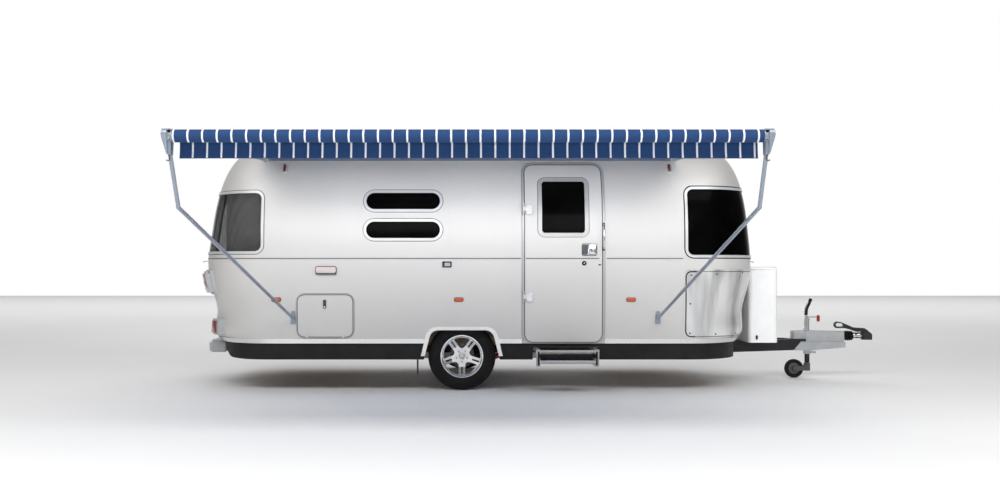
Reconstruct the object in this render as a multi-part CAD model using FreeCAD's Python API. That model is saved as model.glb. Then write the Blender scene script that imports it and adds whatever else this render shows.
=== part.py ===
"""Touring caravan with a riveted aluminium body, one axle, a gas locker and a roll-out awning.

Built with x forward from the axle line, y to the left of the centreline and z up from
the ground. Every saved piece is then moved so that the origin is the centre of the tow
ball in the coupling head. All sizes are in millimetres, and the entrance is on the
near side, at -y.
"""
import FreeCAD, Part
import functools
import math
import os

V = FreeCAD.Vector

# ---- driving dimensions: body
REAR_END = -2620            # rearmost and foremost points of the body, at the belt
FRONT_END = 2970
HALF_WIDTH = 1252           # at the belt
BELT = 1280
ROOF_TOP = 2505
WALL = 50                   # sandwich wall
FLOOR_TOP = 470             # underside of the walls, top of the floor
FLOOR = 40
CAP_REAR = REAR_END + 870   # joints between the side walls and the double-curved ends
CAP_FRONT = FRONT_END - 930
ROOF_SEAM = ROOF_TOP - 205
FIT = 0.3                   # gap between neighbouring pieces that don't move
RUN = 5                     # gap between a moving piece and its surround
PIN_FIT = 0.05              # running clearance of pins and stubs in their bores
OUTSIDE = 4000              # cutters reach this far past the body

SQUARENESS = 3.2            # of the roof's shoulders: 2 is an ellipse
TUCK_SIDE = 27              # how far the sides and ends tuck in at the floor
TUCK_END = 165
LEAN = {-1: 0.12, 1: 0.07}  # of the rear and front ends above the belt
ROOF_SWEEP = 620            # how far the roof's edge lies in from the ends
CORNER = 600                # plan radius of the body's corners at the belt
# heights of the sections that the body's surface runs through, as shares of its height
SECTIONS = (0, 0.133, 0.266, 0.398, 0.526, 0.644, 0.742, 0.821, 0.884, 0.934, 0.968, 0.990, 0.9975)

# ---- driving dimensions: running gear
WHEEL_R = 335
TYRE_W = 205
RIM_R = 210
TRACK = 2 * HALF_WIDTH - 394    # between the tyres' middles
STUB_R = 22
HUB_IN = 62                 # from the wheel's middle to the drum's inner face
SPOKES = 5
SPOKE_HALF = 33             # half the width of a twin spoke
BOLT_CIRCLE = 56
ARCH_TOP = 600
ARCH_HALF_TOP = 300
ARCH_HALF_FOOT = 365
ARCH_FOOT_Z = 345
RAIL_Z = (330, FLOOR_TOP - FLOOR)
RAIL_Y = 620                # outer web of each main rail
RAIL_W = 45
RAIL_REAR = REAR_END + 370
RAIL_FRONT = FRONT_END - 970
RAIL_T = 6
AXLE_X = 150                # torsion tube, ahead of the wheels
AXLE_SIZE = 90
ARM_Y = (TRACK / 2 - 195, TRACK / 2 - 155)  # swing arms, each side
DAMPER_Y = TRACK / 2 - 225
DAMPER_TOP = (530, 388)     # x and z of the pins on the rail and on the swing arm
DAMPER_FOOT = (236, 262)
DAMPER_PIN_R = 10

# ---- driving dimensions: openings
# near-side entrance: x from, x to, z from, z to, corner radius
DOOR = (620, 1374, FLOOR_TOP + 15, ROOF_TOP - 268, 80)
DOOR_GLASS = (DOOR[0] + 166, DOOR[1] - 167, 1554, DOOR[3] - 172, 30)
DOOR_RIM, DOOR_LIP, DOOR_GAP = 28, 5, 8
DOOR_HINGE = V(DOOR[0] - 14, -HALF_WIDTH - 28, 0)
DOOR_HINGE_Z = (930, 1790)
HATCH = (-1609, -1072, 536, 944, 65)
HATCH_RIM, HATCH_LIP, HATCH_GAP = 14, 5, 6
HATCH_HINGE = V(0, -HALF_WIDTH, HATCH[2] - 12)
SLOT = (-939, -214, 163)    # x from, x to, height of each slot window
SLOT_Z = (1585, 1870)
FAR_WINDOW = (620, 1560, 1400, 1960, 90)
# wrap-round corner windows: starts at x, z from, z to
REAR_GLASS = (REAR_END + 650, 1375, 1950)
FRONT_GLASS = (FRONT_END - 753, 1338, 1989)
CORNER_GLASS_Y = HALF_WIDTH - 622   # inner edge of each corner window on the end wall
CENTRE_GLASS_Y = CORNER_GLASS_Y - 85    # half width of the middle panes
GLASS_R = 60
FRAME_W = 26                # window frames, outside the glass
VENT = (-700, 240)          # centre x and half size of the roof window

# ---- driving dimensions: awning
RAIL_LINE_Z = ROOF_SEAM + 5
AWNING_X = (REAR_END + 669, FRONT_END - 872)
ROLLER_R = 34
FABRIC_R = 46               # with the canopy's spare turns wound on
FABRIC_T = 3
ROLLER_Y, ROLLER_Z = -HALF_WIDTH - 2998, RAIL_LINE_Z - 180
VALANCE_Y, VALANCE_Z = ROLLER_Y + 72, ROLLER_Z - 150
VALANCE_INSET = (22, 14)    # at the rear and front ends
TUBE_R = 15
KNEE = (-HALF_WIDTH - 2768, 1648)   # y and z of the bend in each support arm
RAFTER_Z = RAIL_LINE_Z - 15
ARM_FOOT_Z = 720

# ---- driving dimensions: front end
LOCKER = (FRONT_END + 15, FRONT_END + 320, 620)     # x from, x to, half width
LOCKER_Z = (430, 1192, 1222)
LOCKER_WALL = 8
NOSE = (FRONT_END + 590, FRONT_END + 790, 74)   # drawbar's nose plate, with its half width
NOSE_TOP = FLOOR_TOP - FLOOR
JOCKEY = V(NOSE[1] + 34, 0, 0)
JOCKEY_TRAIL = 146
JOCKEY_TUBE_R = 24
JOCKEY_WHEEL_R = 101.5
JOCKEY_WHEEL_W = 50
HOUSING_FRONT = NOSE[1] + 420
HOUSING_HALF = 70
HOUSING_TOP = 520
SHAFT_R = 25
SHAFT_Z = 462
BELLOWS = 112               # length of the gaiter
BALL = V(HOUSING_FRONT + 270, 0, 445)   # centre of the tow ball
BALL_BORE = 25.3
SOCKET_FOOT = BALL.z - 27
SOCKET_LENGTH = 30

# ---- driving dimensions: step and steadies
STEP_X = (DOOR[0] + 97, DOOR[1] - 49)
PIN_R = 8
# name, pivot x, direction of the leg along x, side
STEADIES = (
    ("steady_rear_near", RAIL_REAR + 510, -1, -1),
    ("steady_rear_far", RAIL_REAR + 510, -1, 1),
    ("steady_front_near", RAIL_FRONT - 440, 1, -1),
    ("steady_front_far", RAIL_FRONT - 440, 1, 1),
)
STEADY_Y = RAIL_Y + 130
STEADY_Z = RAIL_Z[0] - 34
STEADY_LENGTH = 400


# ---- helpers
def box(x0, x1, y0, y1, z0, z1):
    return Part.makeBox(x1 - x0, y1 - y0, z1 - z0, V(x0, y0, z0))


def rod(a, b, radius):
    """Round bar from point a to point b."""
    run = V(*b) - V(*a)
    return Part.makeCylinder(radius, run.Length, V(*a), run)


def fuse(shapes):
    shapes = list(shapes)
    if len(shapes) == 1:
        return shapes[0]
    return shapes[0].fuse(shapes[1:]).removeSplitter()


def far(shape):
    """The same piece on the far side."""
    return shape.mirror(V(0, 0, 0), V(0, 1, 0))


def both(shape):
    return [shape, far(shape)]


def rounded_wire(corners, place):
    """Closed wire round (u, v, radius) corners; place turns (u, v) into a point."""
    flat = [V(u, v, 0) for u, v, _ in corners]
    edges, ends = [], []
    for i, (_, _, radius) in enumerate(corners):
        here = flat[i]
        back = (flat[i - 1] - here).normalize()
        ahead = (flat[(i + 1) % len(flat)] - here).normalize()
        if radius <= 0:
            ends.append((here, None, here))
            continue
        half = back.getAngle(ahead) / 2
        cut = radius / math.tan(half)
        middle = (back + ahead).normalize()
        peak = here + middle * (radius / math.sin(half) - radius)
        ends.append((here + back * cut, peak, here + ahead * cut))
    for i, (start, peak, end) in enumerate(ends):
        a, b, c = (place(p) if p else None for p in (start, peak, end))
        if b is not None:
            edges.append(Part.Arc(a, b, c).toShape())
        nxt = place(ends[(i + 1) % len(ends)][0])
        if c.distanceToPoint(nxt) > 1e-6:
            edges.append(Part.makeLine(c, nxt))
    return Part.Wire(edges)


def prism_y(corners, y0, y1):
    """Outline in the x-z plane, drawn along y."""
    wire = rounded_wire(corners, lambda p: V(p.x, y0, p.y))
    return Part.Face(wire).extrude(V(0, y1 - y0, 0))


def prism_x(corners, x0, x1):
    """Outline in the y-z plane, drawn along x."""
    wire = rounded_wire(corners, lambda p: V(x0, p.x, p.y))
    return Part.Face(wire).extrude(V(x1 - x0, 0, 0))


def prism_z(corners, z0, z1):
    """Outline in the x-y plane, drawn along z."""
    wire = rounded_wire(corners, lambda p: V(p.x, p.y, z0))
    return Part.Face(wire).extrude(V(0, 0, z1 - z0))


def rect(u0, u1, v0, v1, radius, grow=0):
    """Corners of a rounded rectangle, grown or shrunk all round."""
    r = max(radius + grow, 0)
    u0, u1, v0, v1 = u0 - grow, u1 + grow, v0 - grow, v1 + grow
    return ((u0, v0, r), (u1, v0, r), (u1, v1, r), (u0, v1, r))


# ---- body form
def shoulder(z):
    """1 at the belt, falling to 0 at the roof's top along the rounded shoulder."""
    share = (z - BELT) / (ROOF_TOP - BELT)
    return (1 - share ** SQUARENESS) ** (1 / SQUARENESS)


def half_width(z):
    if z < BELT:
        return HALF_WIDTH - TUCK_SIDE * ((BELT - z) / (BELT - FLOOR_TOP)) ** 2
    return HALF_WIDTH * shoulder(z)


def end_inset(z, end):
    if z < BELT:
        return TUCK_END * ((BELT - z) / (BELT - FLOOR_TOP)) ** 1.4
    return LEAN[end] * (z - BELT) + ROOF_SWEEP * (1 - shoulder(z))


def plan(z, out, share=0.5):
    """Height and plan (x0, x1, y0, y1, radius) of a section, pushed out square to the surface."""
    half = half_width(z)
    insets = [end_inset(z, end) for end in (-1, 1)]
    radius = CORNER * (half / HALF_WIDTH) ** 2
    if share == 0:
        x0, x1 = REAR_END + insets[0] - out, FRONT_END - insets[1] + out
        return z, (x0, x1, -half - out, half + out, radius + out)
    if share == 1:
        return z + out, (REAR_END + insets[0], FRONT_END - insets[1], -half, half, radius)
    side_slope = (half_width(z - 1) - half_width(z + 1)) / 2
    end_slopes = [(end_inset(z + 1, end) - end_inset(z - 1, end)) / 2 for end in (-1, 1)]
    side = math.hypot(1, side_slope)
    ends = [math.hypot(1, slope) for slope in end_slopes]
    rise = out * (side_slope / side + end_slopes[0] / ends[0]) / 2
    x0, x1 = REAR_END + insets[0] - out / ends[0], FRONT_END - insets[1] + out / ends[1]
    return z + rise, (x0, x1, -half - out / side, half + out / side, radius + out)


def body(out=0, drop=0):
    """The whole body as one solid, pushed out by out and lengthened downwards by drop."""
    wires = []
    for i, height in enumerate(SECTIONS):
        share = {0: 0, len(SECTIONS) - 1: 1}.get(i, 0.5)
        z, span = plan(FLOOR_TOP + height * (ROOF_TOP - FLOOR_TOP), out, share)
        z -= drop if i == 0 else 0
        wires.append(rounded_wire(rect(*span), lambda p, z=z: V(p.x, p.y, z)))
    return Part.makeLoft(wires, True, False)


def foot_plan(out):
    """Plan of the body's foot, pushed out."""
    return plan(FLOOR_TOP, out, 0)[1]


@functools.lru_cache(maxsize=None)
def layer(outer, inner):
    """Skin lying between two offsets of the body's surface."""
    return body(outer).cut(body(inner, 1))


def side_prism(corners):
    """Cutter through the near wall."""
    return prism_y(corners, -HALF_WIDTH - 250, -HALF_WIDTH + 550)


def near_ring(corners, radius_in):
    """Cutter round a near-side outline, radius_in wide."""
    return side_prism(rect(*corners, grow=radius_in)).cut(side_prism(rect(*corners)))


def corner_cut(end, grow):
    """Cutter that wraps the near corner of one end."""
    start, z0, z1 = REAR_GLASS if end < 0 else FRONT_GLASS
    span = sorted((start, end * OUTSIDE))
    along = prism_y(rect(*span, z0, z1, GLASS_R, grow), -OUTSIDE, -100)
    across = prism_x(rect(-OUTSIDE, -CORNER_GLASS_Y, z0, z1, GLASS_R, grow), *sorted((0, end * OUTSIDE)))
    return along.common(across)


def centre_cut(end, grow):
    """Cutter for the middle pane of one end."""
    _, z0, z1 = REAR_GLASS if end < 0 else FRONT_GLASS
    outline = rect(-CENTRE_GLASS_Y, CENTRE_GLASS_Y, z0, z1, GLASS_R, grow)
    return prism_x(outline, *sorted((end * 1500, end * OUTSIDE)))


def slot_outline(z):
    x0, x1, height = SLOT
    return x0, x1, z - height / 2, z + height / 2, height / 2 - 1


def window_cutters(grow):
    """Name of the panel and cutter of every window, grown round the glass."""
    found = []
    for z in SLOT_Z:
        cutter = side_prism(rect(*slot_outline(z), grow=grow))
        found += [("near_wall", cutter), ("far_wall", far(cutter))]
    found.append(("far_wall", far(side_prism(rect(*FAR_WINDOW, grow=grow)))))
    for end, panel in ((-1, "rear_cap"), (1, "front_cap")):
        found += [(panel, piece) for piece in both(corner_cut(end, grow))]
        found.append((panel, centre_cut(end, grow)))
    return found


# ---- body panels
def arch_outline(grow=0):
    """Wheel arch with its rounded shoulders, open below the skirt."""
    low = ARCH_FOOT_Z - 95
    slope = (ARCH_HALF_FOOT - ARCH_HALF_TOP) / (ARCH_TOP - ARCH_FOOT_Z)
    foot = ARCH_HALF_TOP + slope * (ARCH_TOP - low)
    radius = 90 + grow
    top = ARCH_TOP + grow
    return (
        (-foot - grow, low, 0), (foot + grow, low, 0),
        (ARCH_HALF_TOP + grow, top, radius), (-ARCH_HALF_TOP - grow, top, radius),
    )


def body_panels():
    """Side walls, roof and the two double-curved ends, cut from one hollow body."""
    skin = layer(0, -WALL)
    wide, top = OUTSIDE, ROOF_TOP + 100
    holes = window_cutters(FRAME_W + FIT)
    door = side_prism(rect(*DOOR, grow=DOOR_RIM + FIT))
    hatch = side_prism(rect(*HATCH, grow=HATCH_RIM + FIT))
    arch = prism_y(arch_outline(), -OUTSIDE, -HALF_WIDTH + 150)
    blocks = {
        "near_wall": box(CAP_REAR, CAP_FRONT, -wide, 0, 0, ROOF_SEAM),
        "far_wall": box(CAP_REAR, CAP_FRONT, 0, wide, 0, ROOF_SEAM),
        "roof_panel": box(CAP_REAR, CAP_FRONT, -wide, wide, ROOF_SEAM, top),
        "rear_cap": box(-OUTSIDE, CAP_REAR, -wide, wide, 0, top),
        "front_cap": box(CAP_FRONT, OUTSIDE, -wide, wide, 0, top),
    }
    extra = {"near_wall": [door, hatch, arch], "far_wall": [far(arch)], "roof_panel": [vent_hole()]}
    panels = {}
    for name, block in blocks.items():
        cutters = [cutter for panel, cutter in holes if panel == name] + extra.get(name, [])
        panels[name] = skin.common(block).cut(cutters)
    return panels


def window_frames():
    """Bonded frames that plug the window openings, and the rails that hang the curtains."""
    band = layer(8, -WALL + 5)
    rings = zip(window_cutters(FRAME_W), window_cutters(0))
    frames = [band.common(outer.cut(inner)) for (_, outer), (_, inner) in rings]
    top = REAR_GLASS[2] + 32
    rail = box(-OUTSIDE, REAR_GLASS[0] + 50, -OUTSIDE, -CORNER_GLASS_Y + 40, top - 18, top)
    rail = rail.common(body(-WALL - FIT)).cut(prism_z(rect(*curtain_plan(-24)), 0, ROOF_TOP))
    return frames + both(rail)


def window_panes():
    pane = layer(-1, -7)
    return [pane.common(cutter) for _, cutter in window_cutters(-FIT)]


def curtain_plan(out):
    """Plan of the curtains, hanging straight down from the rail at the top of the glass."""
    return plan(REAR_GLASS[2] + 32, -WALL - 14 + out)[1]


def curtains():
    """Drawn curtains hanging inside the rear corner windows."""
    start, z0, z1 = REAR_GLASS
    z0, z1 = z0 - 40, z1 + 14 - FIT
    ring = prism_z(rect(*curtain_plan(0)), z0, z1).cut(prism_z(rect(*curtain_plan(-18)), z0, z1))
    return both(ring.common(box(-OUTSIDE, start + 50, -OUTSIDE, -CORNER_GLASS_Y + 40, 0, ROOF_TOP)))


# ---- entrance door and service hatch
def opening_frame(corners, rim, lip, gap, proud):
    """Frame through the wall with a rebate for the door's outer flange."""
    ring = side_prism(rect(*corners, grow=rim)).cut(side_prism(rect(*corners, grow=-lip)))
    rebate = layer(proud + 20, 2).common(side_prism(rect(*corners, grow=gap)))
    return layer(proud, -WALL).common(ring).cut(rebate)


def leaf(corners, inset, proud):
    """Door or lid: an outer flange over the rebate and an insulated core inside it."""
    flange = layer(proud, 7).common(side_prism(rect(*corners)))
    core = layer(8, -WALL + 10).common(side_prism(rect(*corners, grow=-inset)))
    return fuse([flange, core])


def knuckle(hinge, z0, z1, radius=9):
    return rod((hinge.x, hinge.y, z0), (hinge.x, hinge.y, z1), radius)


def door_hinges():
    """Fixed and moving halves: two outer knuckles and one middle knuckle on its pin."""
    fixed, moving = [], []
    x, y = DOOR_HINGE.x, DOOR_HINGE.y
    for z in DOOR_HINGE_Z:
        pin = knuckle(DOOR_HINGE, z - 60, z + 60, 4)
        bore = knuckle(DOOR_HINGE, z - 70, z + 70, 4 + PIN_FIT)
        for z0 in (z - 55, z + 21):
            arm = box(x - 9, x + 5, y, -1000, z0, z0 + 34)
            fixed.append(knuckle(DOOR_HINGE, z0, z0 + 34).fuse(arm).cut([bore, body(12.3)]))
        arm = box(x, x + 62, y - 9, y, z - 20, z + 20)
        foot = box(x + 20, x + 62, y - 9, -1000, z - 20, z + 20)
        leaf_half = fuse([knuckle(DOOR_HINGE, z - 20, z + 20), arm, foot]).cut(body(14))
        moving += [leaf_half, pin]
    return fixed, moving


def entrance():
    """Frame, door, door glass, latch and hinges."""
    frame = opening_frame(DOOR, DOOR_RIM, DOOR_LIP, DOOR_GAP, 12)
    light = side_prism(rect(*DOOR_GLASS, grow=38 + FIT))
    door = leaf(DOOR, 30, 14).cut(light)
    surround = layer(20, -WALL + 8).common(near_ring(DOOR_GLASS, 38))
    pane = layer(10, 4).common(side_prism(rect(*DOOR_GLASS, grow=-FIT)))
    edge = DOOR[1] - 22
    plate = layer(26, 14).common(side_prism(rect(edge - 84, edge, 1290, 1430, 14)))
    fixed, moving = door_hinges()
    door = fuse([door] + moving)
    return frame, fixed, door, surround, pane, plate


def service_hatch():
    """Bottom-hinged locker hatch in its frame, with the hinge along the lower edge."""
    frame = opening_frame(HATCH, HATCH_RIM, HATCH_LIP, HATCH_GAP, 9)
    lid = leaf(HATCH, 16, 12)
    x0, x1 = HATCH[0] + 90, HATCH[1] - 90
    y, z = HATCH_HINGE.y, HATCH_HINGE.z
    lugs, pins = [], []
    for x in (x0, x1):
        pin = rod((x - 30, y, z), (x + 30, y, z), 3)
        bore = rod((x - 40, y, z), (x + 40, y, z), 3 + PIN_FIT)
        for a in (x - 30, x + 12):
            ear = fuse([rod((a, y, z), (a + 18, y, z), 6), box(a, a + 18, y, -1200, z - 5, z + 4)])
            lugs.append(ear.cut([bore, body(9)]))
        strap = fuse([
            rod((x - 11, y, z), (x + 11, y, z), 6),
            box(x - 11, x + 11, y - 6, y, z, z + 40),
            box(x - 11, x + 11, y - 6, -1200, z + 16, z + 40),
        ])
        pins += [strap.cut(body(12)), pin]
    return fuse([frame] + lugs), fuse([lid] + pins)


def hatch_latch():
    middle, top = (HATCH[0] + HATCH[1]) / 2, HATCH[3] - 14
    return layer(26, 12).common(side_prism(rect(middle - 16, middle + 16, top - 80, top, 15)))


# ---- trims and fittings on the body
def body_trims():
    """Bright strip along the foot of the walls and a band round each wheel arch."""
    strip = box(-OUTSIDE, OUTSIDE, -OUTSIDE, OUTSIDE, FLOOR_TOP, FLOOR_TOP + 45)
    bands = both(prism_y(arch_outline(35), -OUTSIDE, -1100))
    holes = both(prism_y(arch_outline(), -OUTSIDE, -1100))
    upper = layer(14, FIT).common(fuse([strip] + bands))
    low = box(-600, 600, -OUTSIDE, OUTSIDE, ARCH_FOOT_Z, FLOOR_TOP)
    lower = skirt_ring(16, 0).common(fuse(bands).common(low))
    sill = box(DOOR[0] - 30, DOOR[1] + 30, -OUTSIDE, -1000, 0, 600)
    return [fuse([upper, lower]).cut(holes + [sill])]


def skirt_ring(out, inner):
    """Upright band round the body's foot, between two offsets of the skirt's face."""
    outer = prism_z(rect(*foot_plan(-8), grow=out), 300, FLOOR_TOP)
    return outer.cut(prism_z(rect(*foot_plan(-8), grow=inner), 300, FLOOR_TOP))


def side_skirts():
    """Black band hiding the chassis, cut for the wheels, the step and the drawbar."""
    ring, top = skirt_ring(0, -8), FLOOR_TOP - 2
    profile = prism_y((
        (-OUTSIDE, top, 0), (-OUTSIDE, 440, 0), (REAR_END + 190, 440, 60), (REAR_END + 300, 318, 90),
        (REAR_END + 480, 310, 0), (OUTSIDE, 310, 0), (OUTSIDE, top, 0),
    ), -OUTSIDE, OUTSIDE)
    arch = prism_y(arch_outline(), -OUTSIDE, OUTSIDE)
    step = box(STEP_X[0] - 20, STEP_X[1] + 20, -OUTSIDE, -1000, 0, 436)
    nose = box(RAIL_FRONT, OUTSIDE, -620, 620, 0, 600)
    return ring.common(profile).cut([arch, step, nose])


def rear_bumper():
    """Rounded bumper moulding with a stepped top, seated on the skirt across the rear."""
    x, half, foot, top = REAR_END + 8, 760, 345, 478
    slices = [
        prism_z(rect(x + back, REAR_END + 420, back - half, half - back, 60), z0, z1)
        for back, z0, z1 in ((14, foot, foot + 14), (0, foot + 14, top - 34), (22, top - 34, top))
    ]
    inside = prism_z(rect(*foot_plan(-8), grow=FIT), 300, FLOOR_TOP)
    clear = box(-OUTSIDE, OUTSIDE, -OUTSIDE, OUTSIDE, FLOOR_TOP - 1, 600)
    return fuse(slices).cut([inside, clear])


def stone_guards():
    """Polished plates on the lower front corners."""
    outline = rect(CAP_FRONT + 140, OUTSIDE, FLOOR_TOP + 46, 1195, 50)
    return both(layer(5, FIT).common(prism_y(outline, -OUTSIDE, -LOCKER[2] - 20)))


def lamps():
    """Amber side markers and the upper clearance lamps."""
    found = []
    for x in (-1820, -30, 1660):
        found += both(layer(16, FIT).common(side_prism(rect(x - 45, x + 45, 880, 920, 8))))
    for x in (-1750, 2040):
        found += both(layer(30, FIT).common(side_prism(rect(x - 20, x + 20, 2150, 2245, 12))))
    return found


def wall_fittings():
    """Awning lamp and the outside socket box."""
    lamp = layer(34, FIT).common(side_prism(rect(-1430, -1230, 1155, 1225, 22)))
    socket = layer(18, FIT).common(side_prism(rect(-190, -100, 1218, 1273, 8)))
    return [lamp, socket]


def tail_lamps():
    """Tall lamp cluster on its plinth and a low fog lamp on each rear corner."""
    # proud of the body, then y from, y to, z from, z to
    steps = (
        ((26, -1014, -856, 944, 1190), (66, -1000, -870, 962, 1156), (50, -960, -890, 1150, 1176)),
        ((50, -1060, -900, 540, 700),),
    )
    found = []
    for lamp in steps:
        parts = [
            layer(proud, FIT).common(prism_x(rect(y0, y1, z0, z1, 12), -OUTSIDE, -2000))
            for proud, y0, y1, z0, z1 in lamp
        ]
        found += both(fuse(parts))
    return found


def bow(corners, x0, x1, thick):
    """Bent strip in the y-z plane that follows an outline, open towards the wall."""
    outer = prism_x(corners, x0, x1)
    inner = prism_x(tuple((u, v, max(r - thick, 1)) for u, v, r in shrunk(corners, thick)), x0, x1)
    return outer.cut(inner)


def shrunk(corners, thick):
    (u0, v0, r0), (u1, v1, r1) = corners[0], corners[2]
    return rect(u0 + thick, u1 - thick, v0 + thick, v1 - thick, r0)


def grab_handle():
    """Upright bow handle beside the entrance."""
    x = DOOR[1] + DOOR_RIM + 28
    grip = bow(rect(-HALF_WIDTH - 60, -HALF_WIDTH + 100, 1390, 1650, 34), x - 9, x + 9, 16)
    return grip.cut(body(FIT))


def roof_vent():
    """Roof window: a frame round the opening and its low domed lid."""
    x, half, z = VENT[0], VENT[1], ROOF_TOP
    frame = prism_z(rect(x - half, x + half, -half, half, 40), z - 60, z + 22)
    inside = prism_z(rect(x - half, x + half, -half, half, 40, -30), z - 100, z + 100)
    frame = frame.cut(inside)
    lid = prism_z(rect(x - half, x + half, -half, half, 46, 6), z + 28, z + 64)
    lid = lid.makeFillet(20, [e for e in lid.Edges if e.BoundBox.ZMin > z + 60])
    pocket = prism_z(rect(x - half, x + half, -half, half, 30, -8), z + 20, z + 54)
    hinge_x = x + half + 16
    ears, arms = [], []
    for y in (-120, 120):
        bore = rod((hinge_x, y - 40, z + 30), (hinge_x, y + 40, z + 30), 5 + PIN_FIT)
        pin = rod((hinge_x, y - 30, z + 30), (hinge_x, y + 30, z + 30), 5)
        for a in (y - 30, y + 14):
            foot = box(x + half - 1, hinge_x + 7, a, a + 16, z + 2, z + 20)
            neck = box(hinge_x - 5, hinge_x + 5, a, a + 16, z + 18, z + 30)
            eye = rod((hinge_x, a, z + 30), (hinge_x, a + 16, z + 30), 7.5)
            ears.append(fuse([foot, neck, eye]).cut(bore))
        arms += [box(x + half, hinge_x + 8, y - 12, y + 12, z + 24, z + 44), pin]
    return fuse([frame] + ears), fuse([lid.cut(pocket)] + arms)


def vent_hole():
    x, half = VENT
    return prism_z(rect(x - half, x + half, -half, half, 40, FIT), ROOF_SEAM - 100, ROOF_TOP + 200)


# ---- floor and chassis
def floor_panel():
    """Plywood floor with a box over each wheel."""
    slab = prism_z(rect(*foot_plan(-17)), FLOOR_TOP - FLOOR, FLOOR_TOP)
    y_in = TRACK / 2 - TYRE_W / 2 - 24
    y_out = half_width(FLOOR_TOP) - WALL - 12
    wells, boxes = [], []
    for side in (-1, 1):
        y0, y1 = sorted((side * y_in, side * (HALF_WIDTH + 48)))
        wells.append(box(-400, 400, y0, y1, 0, 760))
        y0, y1 = sorted((side * (y_in - 12), side * y_out))
        boxes.append(box(-412, 412, y0, y1, FLOOR_TOP - 1, 772))
    return fuse([slab] + boxes).cut(wells)


def rail(side):
    """Channel-section main rail with lightening holes."""
    y = side * RAIL_Y
    z0, z1 = RAIL_Z
    web = box(RAIL_REAR, RAIL_FRONT, *sorted((y, y - side * RAIL_T)), z0, z1)
    flanges = [
        box(RAIL_REAR, RAIL_FRONT, *sorted((y, y - side * RAIL_W)), a, a + RAIL_T)
        for a in (z0, z1 - RAIL_T)
    ]
    holes = [
        rod((x, y - side * 20, (z0 + z1) / 2), (x, y + side * 20, (z0 + z1) / 2), 24)
        for x in range(RAIL_REAR + 200, -400, 220)
    ]
    return fuse([web] + flanges).cut(holes)


def chassis_rails():
    """Main rails, cross members and the brackets that carry steadies and dampers."""
    z0, z1 = RAIL_Z
    pieces = [rail(-1), rail(1)]
    inner = RAIL_Y - RAIL_T
    for x in (RAIL_REAR + 30, -1200, 1150, RAIL_FRONT - 40):
        pieces.append(box(x - 30, x + 30, -inner, inner, z0 + 25, z1 - 6.5))
    for _, x, way, side in STEADIES:
        y = side * STEADY_Y
        web = box(x - 40, x + 40, *sorted((side * RAIL_Y, y + side * 42)), z0 + 14, z0 + 22)
        ears = [box(x - 22, x + 22, *sorted((a, a + side * 8)), STEADY_Z - 20, z0 + 14)
                for a in (y - side * 42, y + side * 34)]
        bore = rod((x, y - 60, STEADY_Z), (x, y + 60, STEADY_Z), PIN_R + PIN_FIT)
        pieces.append(fuse([web] + ears).cut(bore))
    x, z = DAMPER_TOP
    for side in (-1, 1):
        y = side * DAMPER_Y
        pieces.append(box(x - 25, x + 25, *sorted((side * RAIL_Y, y - side * 21)), z - 26, z1))
        pieces.append(rod((x, y - side * 21, z), (x, y + side * 20, z), DAMPER_PIN_R))
    return fuse(pieces)


def a_frame():
    """Converging drawbar beams with their nose plate."""
    z0, z1 = 310, RAIL_Z[1]
    x0, x1, half = NOSE
    root, bend, tip = RAIL_FRONT - 20, RAIL_FRONT + 80, x0 + 50
    beams = []
    for side in (-1, 1):
        beams.append(prism_z((
            (root, side * 640, 0), (bend, side * 640, 0), (tip, side * 106, 0),
            (tip, side * 50, 0), (bend, side * 570, 0), (root, side * 570, 0),
        ), z0, z1))
    back, end = RAIL_FRONT - 100, RAIL_FRONT
    taper = prism_y(((back, z0 - 60, 0), (end + 300, z0 - 60, 0), (end, z0 + 22, 0), (back, z0 + 22, 0)), -900, 900)
    nose = box(x0, x1, -half, half, z0, z1)
    tie = box(FRONT_END - 100, FRONT_END - 60, -380, 380, z0 + 30, z1 - 20)
    joined = fuse(beams + [nose, tie])
    return joined.cut([taper, box(back, end, -1000, 1000, 0, 600)])


def belly_pan():
    """Shallow panels under the floor, either side of the axle tube."""
    z = RAIL_Z[0]
    pans = []
    for x0, x1 in ((-1150, AXLE_X - 75), (AXLE_X + 75, 1500)):
        profile = ((x0, z, 0), (x0 + 50, z - 62, 12), (x1 - 50, z - 62, 12), (x1, z, 0))
        pans.append(prism_y(profile, -600, 600))
    return pans


# ---- running gear
def axle_beam():
    z = RAIL_Z[0] - AXLE_SIZE / 2
    half = AXLE_SIZE / 2
    corners = rect(AXLE_X - half, AXLE_X + half, z - half, z + half, 14)
    return prism_y(corners, -ARM_Y[0], ARM_Y[0])


def swing_arm():
    """Trailing arm with the wheel's stub axle and the damper's lower pin, near side."""
    z = RAIL_Z[0] - AXLE_SIZE / 2
    plate = prism_y((
        (-42, WHEEL_R - 30, 30), (AXLE_X - 40, z - 52, 20), (DAMPER_FOOT[0] + 24, 238, 20),
        (DAMPER_FOOT[0] + 20, 290, 20), (AXLE_X + 30, z + 48, 20), (-42, WHEEL_R + 42, 30),
    ), -ARM_Y[1], -ARM_Y[0])
    stub = rod((0, -ARM_Y[1], WHEEL_R), (0, -TRACK / 2 - 30, WHEEL_R), STUB_R)
    collar = rod((0, -ARM_Y[1], WHEEL_R), (0, -TRACK / 2 + HUB_IN + RUN, WHEEL_R), 40)
    x, foot = DAMPER_FOOT
    pin = rod((x, -ARM_Y[0], foot), (x, -DAMPER_Y + 20, foot), DAMPER_PIN_R)
    return fuse([plate, stub, collar, pin])


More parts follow.
